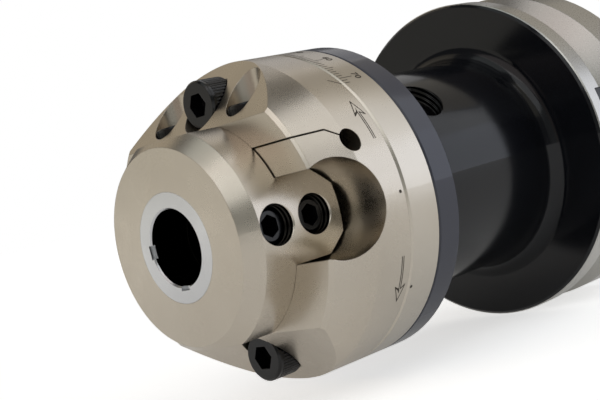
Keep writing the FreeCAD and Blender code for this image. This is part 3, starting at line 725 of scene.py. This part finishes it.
def ribbon_mesh(
    name: str,
    lines: list[tuple[tuple[float, float], tuple[float, float]]],
    width: float,
    angle: float,
    radius: float,
    filled: list[tuple[float, float]] | None = None,
) -> Mesh:
    """Draws straight strokes on a cylinder as thin raised ribbons.

    Args:
        name: The mesh's name.
        lines: Strokes between flat points (arc, y).
        width: The strokes' width.
        angle: The line that arcs are measured from, in degrees.
        radius: The cylinder's radius.
        filled: Corners of a small area that is filled.

    Returns:
        The mesh of all strokes.
    """
    built = bmesh.new()
    if filled:
        built.faces.new([built.verts.new(on_cylinder(*corner, angle, radius)) for corner in filled])
    for (arc0, y0), (arc1, y1) in lines:
        start, end = Vector((arc0, y0)), Vector((arc1, y1))
        along = (end - start).normalized()
        side = Vector((-along.y, along.x)) * width / 2
        start, end = start - along * width / 2, end + along * width / 2
        count = max(1, int((end - start).length / RIBBON_STEP))
        rows = []
        for i in range(count + 1):
            middle = start.lerp(end, i / count)
            edges = (middle + side, middle - side)
            rows.append([built.verts.new(on_cylinder(*edge, angle, radius)) for edge in edges])
        for (a, b), (c, d) in zip(rows, rows[1:]):
            built.faces.new((a, b, d, c))
    point_outwards(built)
    return finish_mesh(built, name)


def dot_mesh(name: str, angle: float, y: float, radius: float) -> Mesh:
    """Draws a filled dot on a cylinder.

    Args:
        name: The mesh's name.
        angle: The dot's place round the tool axis, in degrees.
        y: Its place along the tool axis.
        radius: The cylinder's radius.

    Returns:
        The dot's mesh.
    """
    built = bmesh.new()
    rim = []
    for i in range(DOT_CORNERS):
        turn = math.tau * i / DOT_CORNERS
        arc, rise = DOT_RADIUS * math.cos(turn), DOT_RADIUS * math.sin(turn)
        rim.append(built.verts.new(on_cylinder(arc, y + rise, angle, radius)))
    middle = built.verts.new(on_cylinder(0, y, angle, radius))
    for a, b in zip(rim, rim[1:] + rim[:1]):
        built.faces.new((middle, a, b))
    point_outwards(built)
    return finish_mesh(built, name)


def point_outwards(built: BMesh) -> None:
    """Turns every face away from the tool axis.

    Args:
        built: The mesh under construction.
    """
    built.normal_update()
    for face in built.faces:
        centre = face.calc_center_median()
        if face.normal.dot(Vector((centre.x, 0, centre.z))) < 0:
            face.normal_flip()


# ---- engraving


@dataclass
class DialMarks:
    """The dial ring's graduations, its numbers and the dot of its retract range.

    Attributes:
        radius: Radius of the marks.
        front: Y where every graduation starts.
        count: Graduations that are drawn, from 0.
        per_turn: Graduations in a full turn.
        index_angle: Degrees from +X towards +Z of the index line.
        reading: The number at the index line at rest.
        step: Graduations between two numbers.
        short, middle, long: Lengths of the graduations.
        width: Width of a graduation.
        number_y: Y of the middle of the numbers.
        number_height: Height of the digits.
        dot: Angle in degrees and Y of the retract range's dot.
    """

    radius: float = HEAD_RADIUS + MARK_LIFT
    front: float = NOSE_Y + 41.4 * MM
    count: int = 73
    per_turn: int = 250
    index_angle: float = 43.3
    reading: int = 72
    step: int = 10
    short: float = 2.0 * MM
    middle: float = 3.0 * MM
    long: float = 4.6 * MM
    width: float = 0.2 * MM
    number_y: float = NOSE_Y + 47.7 * MM
    number_height: float = 2.0 * MM
    dot: tuple[float, float] = (-34.1, NOSE_Y + 42.0 * MM)

    def build(self, finish: Material) -> list[Object]:
        """Builds the marks and lets them turn with the dial.

        Args:
            finish: The marking's material.

        Returns:
            The finished pieces.
        """
        dot = dot_mesh("dial_dot", *self.dot, self.radius)
        pieces = [self._graduations(finish), self._numbers(finish), new_piece("dial_dot", dot, finish)]
        for piece in pieces:
            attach(piece, Body.DIAL.value)
        return pieces

    def _tree(self) -> NodeTree:
        """Makes the node tree that sets one stroke per graduation round the ring.

        Returns:
            The tree.
        """
        sizes = {"Radius": self.radius, "Front": self.front, "Short": self.short, "Middle": self.middle}
        sizes.update({"Long": self.long, "Width": self.width, "First Angle": self.first_angle()})
        sizes.update({"Count": self.count, "Per Turn": self.per_turn, "Step": self.step})
        tree, given = open_tree("graduations", sizes)
        index = add_node(tree, "GeometryNodeInputIndex").outputs[0]
        turn = math_chain(tree, index, (("MULTIPLY", math.tau), ("DIVIDE", given["Per Turn"])))
        angle = math_chain(tree, given["First Angle"], (("SUBTRACT", turn),))
        half_step = math_chain(tree, given["Step"], (("DIVIDE", 2.0),))
        on_ten = (("MODULO", given["Step"]), ("LESS_THAN", 0.5))
        on_five = (("MODULO", half_step), ("LESS_THAN", 0.5))
        five_more = math_chain(tree, given["Middle"], (("SUBTRACT", given["Short"]),))
        ten_more = math_chain(tree, given["Long"], (("SUBTRACT", given["Middle"]),))
        five = math_chain(tree, index, (*on_five, ("MULTIPLY", five_more)))
        ten = math_chain(tree, index, (*on_ten, ("MULTIPLY", ten_more)))
        length = math_chain(tree, given["Short"], (("ADD", five), ("ADD", ten)))
        middle_y = math_chain(tree, length, (("MULTIPLY", 0.5), ("ADD", given["Front"])))
        across = math_chain(tree, angle, (("COSINE", None), ("MULTIPLY", given["Radius"])))
        up = math_chain(tree, angle, (("SINE", None), ("MULTIPLY", given["Radius"])))
        place = add_node(tree, "ShaderNodeCombineXYZ", {"X": across, "Y": middle_y, "Z": up})
        lean = math_chain(tree, angle, (("MULTIPLY", -1.0), ("ADD", math.pi / 2)))
        turned = add_node(tree, "ShaderNodeCombineXYZ", {"Y": lean})
        size = add_node(tree, "ShaderNodeCombineXYZ", {"X": given["Width"], "Y": length, "Z": 1.0})
        places = {"Position": place.outputs[0], "Rotation": turned.outputs[0], "Scale": size.outputs[0]}
        stroke = add_node(
            tree,
            "GeometryNodeMeshGrid",
            {"Size X": 1.0, "Size Y": 1.0, "Vertices X": 2, "Vertices Y": 2},
        )
        close_tree(tree, given["Count"], places, stroke.outputs["Mesh"], given["Finish"])
        return tree

    def first_angle(self) -> float:
        """Angle of the graduation zero at rest, in radians."""
        return math.radians(self.index_angle + self.reading * 360 / self.per_turn)

    def _graduations(self, finish: Material) -> Object:
        """Builds all graduations as one mesh."""
        return run_tree("dial_graduations", self._tree(), {"Finish": finish}, finish)

    def _numbers(self, finish: Material) -> Object:
        """Builds the numbers 0 to 70, which read along the circumference.

        Args:
            finish: The marking's material.

        Returns:
            All numbers as one piece.
        """
        built = bmesh.new()
        for number in range(0, self.count, self.step):
            angle = self.index_angle + (self.reading - number) * 360 / self.per_turn
            mesh = text_mesh(str(number), self.number_height)
            for vertex in mesh.vertices:
                arc, height = vertex.co.x, vertex.co.y
                vertex.co = on_cylinder(arc, self.number_y + height, angle, self.radius)
            built.from_mesh(mesh)
            bpy.data.meshes.remove(mesh)
        point_outwards(built)
        return new_piece("dial_numbers", finish_mesh(built, "dial_numbers"), finish)


def text_mesh(words: str, height: float) -> Mesh:
    """Makes plain digits as a flat mesh, centred on the origin.

    Args:
        words: The digits.
        height: The height of a digit.

    Returns:
        The mesh, in its own X and Y.
    """
    curve = bpy.data.curves.new("digits", "FONT")
    curve.body = words
    curve.size = height * FONT_SHARE
    curve.align_x = "CENTER"
    curve.align_y = "CENTER"
    curve.resolution_u = 3
    curve.offset = height * STROKE_SHARE
    holder = bpy.data.objects.new("digits", curve)
    bpy.context.scene.collection.objects.link(holder)
    graph = bpy.context.evaluated_depsgraph_get()
    mesh = bpy.data.meshes.new_from_object(holder.evaluated_get(graph))
    bpy.data.objects.remove(holder)
    bpy.data.curves.remove(curve)
    return mesh


def open_tree(name: str, sizes: dict[str, float | int]) -> tuple[NodeTree, dict[str, NodeSocket]]:
    """Starts a geometry node tree with one named input for each size, and one for the finish.

    Args:
        name: The tree's name.
        sizes: The inputs' names and defaults. A whole number makes an integer input.

    Returns:
        The tree and its inputs by name.
    """
    tree = bpy.data.node_groups.new(name, "GeometryNodeTree")
    face = tree.interface
    face.new_socket("Geometry", in_out="INPUT", socket_type="NodeSocketGeometry")
    for label, value in sizes.items():
        kind = "NodeSocketInt" if isinstance(value, int) else "NodeSocketFloat"
        face.new_socket(label, in_out="INPUT", socket_type=kind).default_value = value
    face.new_socket("Finish", in_out="INPUT", socket_type="NodeSocketMaterial")
    face.new_socket("Geometry", in_out="OUTPUT", socket_type="NodeSocketGeometry")
    outputs = add_node(tree, "NodeGroupInput").outputs
    return tree, {label: outputs[label] for label in (*sizes, "Finish")}


def close_tree(
    tree: NodeTree,
    count: NodeSocket,
    places: dict[str, NodeSocket],
    shape: NodeSocket,
    finish: NodeSocket,
) -> None:
    """Sets a shape on each point, makes the copies real, dresses them and ends the tree.

    Args:
        tree: The geometry node tree.
        count: How many points there are.
        places: The points' Position, and the shape's Rotation and Scale at each.
        shape: The mesh that is repeated.
        finish: The material input.
    """
    points = add_node(tree, "GeometryNodePoints", {"Count": count, "Position": places["Position"]})
    placed = add_node(
        tree,
        "GeometryNodeInstanceOnPoints",
        {
            "Points": points.outputs[0],
            "Instance": shape,
            "Rotation": places["Rotation"],
            "Scale": places["Scale"],
        },
    )
    real = add_node(tree, "GeometryNodeRealizeInstances", {"Geometry": placed.outputs[0]})
    dressed = add_node(
        tree,
        "GeometryNodeSetMaterial",
        {"Geometry": real.outputs[0], "Material": finish},
    )
    add_node(tree, "NodeGroupOutput", {"Geometry": dressed.outputs[0]})


def run_tree(name: str, tree: NodeTree, inputs: dict[str, object], finish: Material) -> Object:
    """Runs a geometry node tree once and keeps its result as a plain mesh.

    Args:
        name: The piece's name.
        tree: The node tree.
        inputs: Values for the tree's named inputs that differ from their defaults.
        finish: The material of the result.

    Returns:
        The finished piece, without modifiers.
    """
    start = bpy.data.meshes.new(name + "_start")
    holder = bpy.data.objects.new(name + "_start", start)
    bpy.context.scene.collection.objects.link(holder)
    modifier = holder.modifiers.new("nodes", "NODES")
    modifier.node_group = tree
    for item in tree.interface.items_tree:
        if item.in_out == "INPUT" and item.name in inputs:
            modifier[item.identifier] = inputs[item.name]
    graph = bpy.context.evaluated_depsgraph_get()
    mesh = bpy.data.meshes.new_from_object(holder.evaluated_get(graph))
    holder.modifiers.clear()
    bpy.data.objects.remove(holder)
    bpy.data.meshes.remove(start)
    return new_piece(name, mesh, finish)


@dataclass
class HeadMarks:
    """The marks on the head's outside: two arrows, the index line and a dot.

    Attributes:
        radius: Radius of the marks.
        line: Width of a stroke.
        arrow_neck: From an arrow's tip to its shaft.
        arrow_barb: From an arrow's tip to the ends of its barbs.
        arrow_half: Half the width of an arrow's head.
        shaft_half: Half the width of an arrow's outlined shaft.
        upper: Tip and tail angle of the upper arrow, in degrees.
        lower: Tip and tail angle of the lower arrow, in degrees.
        arrow_y: Y of the arrows' middle.
        index_start: Angle in degrees and Y of the index line's free end.
        index_end: Angle in degrees and Y of its end at the dial.
        dot: Angle in degrees and Y of the dot.
    """

    radius: float = HEAD_RADIUS + MARK_LIFT
    line: float = 0.26 * MM
    arrow_neck: float = 3.6 * MM
    arrow_barb: float = 4.6 * MM
    arrow_half: float = 1.8 * MM
    shaft_half: float = 0.3 * MM
    upper: tuple[float, float] = (34.6, 19.3)
    lower: tuple[float, float] = (-38.0, -21.5)
    arrow_y: float = NOSE_Y + 37.3 * MM
    index_start: tuple[float, float] = (46.2, NOSE_Y + 37.3 * MM)
    index_end: tuple[float, float] = (43.3, NOSE_Y + 40.1 * MM)
    dot: tuple[float, float] = (0.0, NOSE_Y + 38.9 * MM)

    def build(self, finish: Material) -> list[Object]:
        """Builds the marks on the head.

        Args:
            finish: The marking's material.

        Returns:
            The finished pieces.
        """
        meshes = {
            "upper_arrow": self._arrow("upper_arrow", *self.upper),
            "lower_arrow": self._arrow("lower_arrow", *self.lower),
            "index_line": self._index(),
            "head_dot": dot_mesh("head_dot", *self.dot, self.radius),
        }
        pieces = [new_piece(name, mesh, finish) for name, mesh in meshes.items()]
        for piece in pieces:
            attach(piece, Body.HEAD.value)
        return pieces

    def _arrow(self, name: str, tip: float, tail: float) -> Mesh:
        """Outlines an arrow with a barbed head, along the circumference.

        Args:
            name: The mesh's name.
            tip: Angle of the arrow's tip, in degrees.
            tail: Angle of its tail, in degrees.

        Returns:
            The arrow's mesh.
        """
        turn = math.radians(tip - tail) * self.radius
        way = -1 if turn > 0 else 1
        end = abs(turn)
        y, half, shaft = self.arrow_y, self.arrow_half, self.shaft_half
        neck, barb = end - self.arrow_neck, end - self.arrow_barb
        points = [
            (0, y + shaft),
            (neck, y + shaft),
            (barb, y + half),
            (end, y),
            (barb, y - half),
            (neck, y - shaft),
            (0, y - shaft),
        ]
        points = [(arc * way, place) for arc, place in points]
        lines = list(zip(points, points[1:]))
        filled = [points[3], points[4], ((neck + self.line) * way, y)]
        return ribbon_mesh(name, lines, self.line, tail, self.radius, filled)

    def _index(self) -> Mesh:
        """Draws the line that the dial is read against.

        Returns:
            The line's mesh.
        """
        (start_angle, start_y), (end_angle, end_y) = self.index_start, self.index_end
        arc = math.radians(start_angle - end_angle) * self.radius
        lines = [((0, start_y), (arc, end_y))]
        return ribbon_mesh("index_line", lines, self.line, start_angle, self.radius)


# ---- screws


@dataclass
class KnurledHead:
    """The straight knurl round a cap screw's head.

    Attributes:
        name: The piece's name.
        body: The body it rides on.
        start: The middle of the head's underside.
        axis: The direction from there to the head's top.
        radius: The head's radius.
        height: The knurl's length.
        ridges: Number of ridges.
        ridge_height: How far a ridge stands out.
        ridge_share: Half a ridge's width as a share of the distance between ridges.
    """

    name: str
    body: Body
    start: tuple[float, float, float]
    axis: tuple[float, float, float]
    radius: float
    height: float
    ridges: int
    ridge_height: float = 0.06 * MM
    ridge_share: float = 0.35

    def build(self, finish: Material) -> Object:
        """Builds the ridges and lets them ride on the screw.

        Args:
            finish: The screw's material.

        Returns:
            The finished piece.
        """
        piece = run_tree(self.name, self._tree(), {"Finish": finish}, finish)
        turn = Vector((0, 0, 1)).rotation_difference(Vector(self.axis)).to_matrix().to_4x4()
        piece.data.transform(Matrix.Translation(self.start) @ turn)
        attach(piece, self.body.value)
        return piece

    def _tree(self) -> NodeTree:
        """Makes the node tree that sets wedge ridges round the head.

        Returns:
            The tree.
        """
        sizes = {"Radius": self.radius, "Height": self.height, "Ridge Height": self.ridge_height}
        tree, given = open_tree(self.name, {**sizes, "Ridges": self.ridges})
        index = add_node(tree, "GeometryNodeInputIndex").outputs[0]
        angle = math_chain(tree, index, (("MULTIPLY", math.tau), ("DIVIDE", given["Ridges"])))
        across = math_chain(tree, angle, (("COSINE", None), ("MULTIPLY", given["Radius"])))
        up = math_chain(tree, angle, (("SINE", None), ("MULTIPLY", given["Radius"])))
        middle = math_chain(tree, given["Height"], (("MULTIPLY", 0.5),))
        place = add_node(tree, "ShaderNodeCombineXYZ", {"X": across, "Y": up, "Z": middle})
        spin = add_node(tree, "ShaderNodeCombineXYZ", {"Z": angle})
        share = math.tau * self.ridge_share
        width = math_chain(tree, given["Radius"], (("MULTIPLY", share), ("DIVIDE", given["Ridges"])))
        size = add_node(
            tree,
            "ShaderNodeCombineXYZ",
            {"X": given["Ridge Height"], "Y": width, "Z": given["Height"]},
        )
        places = {"Position": place.outputs[0], "Rotation": spin.outputs[0], "Scale": size.outputs[0]}
        ridge = add_node(
            tree,
            "GeometryNodeMeshCylinder",
            {"Vertices": 4, "Side Segments": 1, "Fill Segments": 1, "Radius": 1.0, "Depth": 1.0},
            fill_type="NGON",
        )
        close_tree(tree, given["Ridges"], places, ridge.outputs["Mesh"], given["Finish"])
        return tree


@dataclass
class ScrewKnurls:
    """The knurls of the bolts and of the gib's clamp screws.

    Attributes:
        bolt_height: The bolts' distance from the tool axis.
        bolt_seat: Y of the bolt heads' undersides.
        clamp_spread: The clamp screws' distance from the middle plane.
        clamp_y: Y of the clamp screws.
        clamp_seat: Z of the clamp screw heads' undersides.
    """

    bolt_height: float = 34.2 * MM
    bolt_seat: float = NOSE_Y + 26.5 * MM
    clamp_spread: float = 15.8 * MM
    clamp_y: float = NOSE_Y + 21.3 * MM
    clamp_seat: float = 25.2 * MM

    def heads(self) -> list[KnurledHead]:
        """Lists the four knurled heads.

        Returns:
            Both bolts' heads, then both clamp screws' heads.
        """
        bolts = [
            KnurledHead(
                name=f"{name}_bolt_knurl",
                body=Body.HEAD,
                start=(0, self.bolt_seat, self.bolt_height * side),
                axis=(0, -1, 0),
                radius=6.5 * MM,
                height=6.6 * MM,
                ridges=48,
            )
            for name, side in (("upper", 1), ("lower", -1))
        ]
        clamps = [
            KnurledHead(
                name=f"{name}_clamp_knurl",
                body=body,
                start=(self.clamp_spread * side, self.clamp_y, self.clamp_seat),
                axis=(0, 0, 1),
                radius=5.0 * MM,
                height=5.0 * MM,
                ridges=40,
            )
            for name, side, body in (("right", 1, Body.RIGHT_CLAMP), ("left", -1, Body.LEFT_CLAMP))
        ]
        return bolts + clamps

    def build(self, finish: Material) -> list[Object]:
        """Builds all knurls in the screws' finish."""
        return [head.build(finish) for head in self.heads()]


# ---- dressing of the CAD nodes


@dataclass
class NodeFinishes:
    """Gives every CAD node its finish.

    Attributes:
        finishes: Finish to the names of the nodes that wear it.
    """

    finishes: dict[SteelFinish, tuple[str, ...]] = field(
        default_factory=lambda: {
            HEAD_PLATE: ("head_body",),
            CARRIER_PLATE: ("tool_carrier",),
            DIAL_PLATE: ("dial_ring",),
            SHANK_OXIDE: ("taper_shank",),
            GROUND_STEEL: (
                "bore_sleeve",
                "cam_bar",
                "drive_pins",
                "cam_button",
                "plunger_pins",
                "dowel_pins",
                "friction_washer",
            ),
            SCREW_OXIDE: (
                "tool_screw_front",
                "tool_screw_rear",
                "body_bolts",
                "clamp_screw_right",
                "clamp_screw_left",
                "neck_plug",
                "plunger_bodies",
            ),
            BRONZE: ("gib_pads",),
            SEAL_RUBBER: ("ring_seal",),
        }
    )

    def dress(self, nodes: dict[str, Object]) -> dict[SteelFinish, Material]:
        """Puts the materials on the nodes.

        Args:
            nodes: The CAD nodes by name.

        Returns:
            Each finish's material.
        """
        made = {}
        for finish, names in self.finishes.items():
            made[finish] = finish.material()
            for name in names:
                mesh = nodes[name].data
                mesh.materials.clear()
                mesh.materials.append(made[finish])
                log.info("%s: %s", name, finish.name)
        missing = set(nodes) - {n for names in self.finishes.values() for n in names}
        if missing:
            raise ValueError(f"nodes without a finish: {sorted(missing)}")
        return made


# ---- studio


def direction_from_front(azimuth: float, elevation: float) -> Vector:
    """Points away from the part, turned from the nose's side towards +X and raised.

    Args:
        azimuth: The turn from -Y towards +X, in radians.
        elevation: The angle above the floor's plane, in radians.

    Returns:
        A direction of length 1.
    """
    across = math.cos(elevation)
    return Vector((across * math.sin(azimuth), -across * math.cos(azimuth), math.sin(elevation)))


@dataclass(frozen=True)
class LightRing:
    """A ring of soft boxes that all point at the head.

    Attributes:
        name: What its lights are called.
        elevation: How high they stand, in degrees.
        width, height: The size of each.
        glows: Where each stands, in degrees from the nose's side towards +X, and its red, green
            and blue light, where 1 shows white in a mirror.
        distance: How far away they stand.
    """

    name: str
    elevation: float
    width: float
    height: float
    glows: dict[int, tuple[float, float, float]]
    distance: float = 1.2


@dataclass
class Studio:
    """A plain pale floor, soft lights and the camera.

    Attributes:
        floor_z: Height of the floor, under the flange.
        floor_radius: Size of the floor.
        floor_tones: sRGB of the floor's two tones.
        floor_speck: Size of the patches of the two tones.
        floor_whites: The glow that makes the floor show white near the part and far from it.
        floor_near, floor_far: Where those two glows hold, from the part.
        mirrored: The floor's glow in reflections, on the near side and beyond the part.
        mirrored_way: The direction in which that glow grows.
        mirrored_span: Over what distance it grows.
        sky_light: The sky's level as light.
        sky_mirrored: The sky's level in reflections.
        target: What the lights point at.
        rings: The soft lights.
        camera_place: The camera's place.
        azimuth, elevation, roll: The camera's direction, in degrees.
        lens: Focal length in millimetres on a 36 mm sensor.
        shift: The lens shift.
        clip: Nearest and farthest distance that the camera sees.
    """

    floor_z: float = -50.3 * MM
    floor_radius: float = 6.0
    floor_tones: tuple[str, str] = ("#F2F2F2", "#F7F7F7")
    floor_speck: float = 25 * MM
    floor_whites: tuple[float, float] = (0.6, 0.97)
    floor_near: float = 0.3
    floor_far: float = 1.2
    mirrored: tuple[float, float] = (0.22, 0.6)
    mirrored_way: tuple[float, float, float] = (-0.77, 0.64, 0)
    mirrored_span: float = 0.2
    sky_light: float = 0.1
    sky_mirrored: float = 0.1
    target: tuple[float, float, float] = (0.0, -0.11, 0.0)
    rings: tuple[LightRing, ...] = (
        LightRing(
            name="low_box",
            elevation=4.0,
            width=1.0,
            height=0.85,
            glows={
                0: (0.17, 0.13, 0.10),
                45: (0.12, 0.13, 0.12),
                135: (1.14, 1.19, 1.31),
                315: (0.50, 0.48, 0.42),
            },
        ),
        LightRing(
            name="middle_box",
            elevation=42.0,
            width=0.78,
            height=0.8,
            glows={
                0: (0.69, 0.61, 0.59),
                45: (1.06, 1.09, 1.10),
                90: (0.37, 0.35, 0.28),
                135: (0.97, 0.99, 1.03),
                180: (0.31, 0.28, 0.23),
                225: (0.45, 0.44, 0.44),
                270: (0.37, 0.32, 0.24),
            },
        ),
        LightRing(
            name="top_box",
            elevation=74.0,
            width=0.62,
            height=0.7,
            glows={0: (0.52, 0.56, 0.55)},
        ),
    )
    camera_place: tuple[float, float, float] = (0.25038, -0.33793, 0.01191)
    azimuth: float = 47.395
    elevation: float = 1.728
    roll: float = -14.43
    lens: float = 73.007
    shift: tuple[float, float] = (-0.0225, 0.00298)
    clip: tuple[float, float] = (0.01, 50.0)

    def build(self) -> None:
        """Builds the floor, the lights, the sky and the camera."""
        self._floor()
        self._sky()
        for ring in self.rings:
            self._light(ring)
        self._camera()

    def _floor(self) -> None:
        """Lays a pale floor that shows white and keeps a soft shadow."""
        built = bmesh.new()
        bmesh.ops.create_circle(built, cap_ends=True, segments=64, radius=self.floor_radius)
        bmesh.ops.translate(built, verts=built.verts, vec=(0, 0, self.floor_z))
        floor = new_piece("studio_floor", finish_mesh(built, "floor"), self._floor_paint())

    def _floor_paint(self) -> Material:
        """Mixes matt white with a glow that only the camera and reflections see.

        Returns:
            The floor's material.
        """
        made = bpy.data.materials.new("matt white studio floor")
        made.use_nodes = True
        tree = made.node_tree
        tree.nodes.clear()
        place = add_node(tree, "ShaderNodeTexCoord").outputs["Object"]
        speck = add_node(tree, "ShaderNodeTexNoise", {"Vector": place, "Scale": 1 / self.floor_speck})
        darker, lighter = (to_linear(tone) for tone in self.floor_tones)
        tone = add_node(
            tree,
            "ShaderNodeMix",
            {0: speck.outputs["Fac"], 6: darker, 7: lighter},
            data_type="RGBA",
        )
        matt = add_node(tree, "ShaderNodeBsdfDiffuse", {"Color": tone.outputs[2]})
        seen = add_node(tree, "ShaderNodeLightPath")
        # In reflections the floor is bright beyond the part and to its left, and grey elsewhere.
        beyond = add_node(
            tree,
            "ShaderNodeVectorMath",
            {0: place, 1: self.mirrored_way},
            operation="DOT_PRODUCT",
        )
        grey, bright = self.mirrored
        shown = {"Value": beyond.outputs["Value"], "From Min": 0.0, "From Max": self.mirrored_span}
        shown.update({"To Min": grey, "To Max": bright})
        reflection = add_node(tree, "ShaderNodeMapRange", shown)
        mirrored = add_node(
            tree,
            "ShaderNodeMath",
            {0: seen.outputs["Is Glossy Ray"], 1: reflection.outputs[0]},
            operation="MULTIPLY",
        )
        # The soft boxes light the floor only around the part, so its white grows with the distance.
        reach = add_node(tree, "ShaderNodeVectorMath", {0: place}, operation="LENGTH")
        near, far = self.floor_whites
        spread = {"Value": reach.outputs["Value"], "To Min": near, "To Max": far}
        spread.update({"From Min": self.floor_near, "From Max": self.floor_far})
        white = add_node(tree, "ShaderNodeMapRange", spread)
        lift = add_node(
            tree,
            "ShaderNodeMath",
            {0: seen.outputs["Is Camera Ray"], 1: white.outputs[0], 2: mirrored.outputs[0]},
            operation="MULTIPLY_ADD",
        )
        glow = add_node(tree, "ShaderNodeEmission", {"Strength": lift.outputs[0]})
        both = add_node(tree, "ShaderNodeAddShader", {0: matt.outputs[0], 1: glow.outputs[0]})
        add_node(tree, "ShaderNodeOutputMaterial", {"Surface": both.outputs[0]})
        return made

    def _sky(self) -> None:
        """Surrounds the scene with white for the camera, and dim white for reflections and light."""
        world = bpy.data.worlds.new("studio")
        bpy.context.scene.world = world
        world.use_nodes = True
        tree = world.node_tree
        tree.nodes.clear()
        seen = add_node(tree, "ShaderNodeLightPath")
        white = to_linear("#FFFFFF")
        shown = add_node(tree, "ShaderNodeBackground", {"Color": white, "Strength": self.sky_light})
        levels = {"Is Glossy Ray": self.sky_mirrored, "Is Camera Ray": 1.0}
        for ray, level in levels.items():
            sky = add_node(tree, "ShaderNodeBackground", {"Color": white, "Strength": level})
            shown = add_node(
                tree,
                "ShaderNodeMixShader",
                {0: seen.outputs[ray], 1: shown.outputs[0], 2: sky.outputs[0]},
            )
        add_node(tree, "ShaderNodeOutputWorld", {"Surface": shown.outputs[0]})

    def _light(self, ring: LightRing) -> None:
        """Hangs the soft boxes of one ring.

        Args:
            ring: The ring.
        """
        level = math.radians(ring.elevation)
        for angle, glow in ring.glows.items():
            way = direction_from_front(math.radians(angle), level)
            name = f"{ring.name}_{angle}"
            data = bpy.data.lights.new(name, "AREA")
            data.shape = "RECTANGLE"
            data.size = ring.width
            data.size_y = ring.height
            data.energy = math.pi * ring.width * ring.height * max(glow)
            data.color = [value / max(glow) for value in glow]
            lamp = bpy.data.objects.new(name, data)
            place = Vector(self.target) + way * ring.distance
            aim = way.to_track_quat("Z", "Y").to_matrix().to_4x4()
            lamp.matrix_world = Matrix.Translation(place) @ aim
            lamp.visible_camera = False
            bpy.context.scene.collection.objects.link(lamp)

    def _camera(self) -> None:
        """Stands the camera in its place and rolls it."""
        azimuth, elevation, roll = (math.radians(v) for v in (self.azimuth, self.elevation, self.roll))
        back = direction_from_front(azimuth, elevation)
        right = (-back).cross(Vector((0, 0, 1))).normalized()
        up = right.cross(-back)
        right_rolled = math.cos(roll) * right + math.sin(roll) * up
        up_rolled = -math.sin(roll) * right + math.cos(roll) * up
        data = bpy.data.cameras.new("camera")
        data.lens = self.lens
        data.sensor_width = 36.0
        data.shift_x, data.shift_y = self.shift
        data.clip_start, data.clip_end = self.clip
        camera = bpy.data.objects.new("camera", data)
        turn = Matrix((right_rolled, up_rolled, back)).transposed().to_4x4()
        camera.matrix_world = Matrix.Translation(self.camera_place) @ turn
        bpy.context.scene.collection.objects.link(camera)
        bpy.context.scene.camera = camera


def main() -> None:
    """Loads the frame, dresses it, adds the details and builds the studio."""
    logging.basicConfig(level=logging.INFO, format="%(name)s %(message)s")
    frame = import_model()
    materials = NodeFinishes().dress(frame["nodes"])
    marking = LASER_MARK.material()
    pieces = DialMarks().build(marking)
    pieces += HeadMarks().build(marking)
    pieces += ScrewKnurls().build(materials[SCREW_OXIDE])
    for piece in pieces:
        log.info("%s: %d faces", piece.name, len(piece.data.polygons))
    Studio().build()
    scene = bpy.context.scene
    scene.view_settings.view_transform = "Standard"


if __name__ == "__main__":
    main()
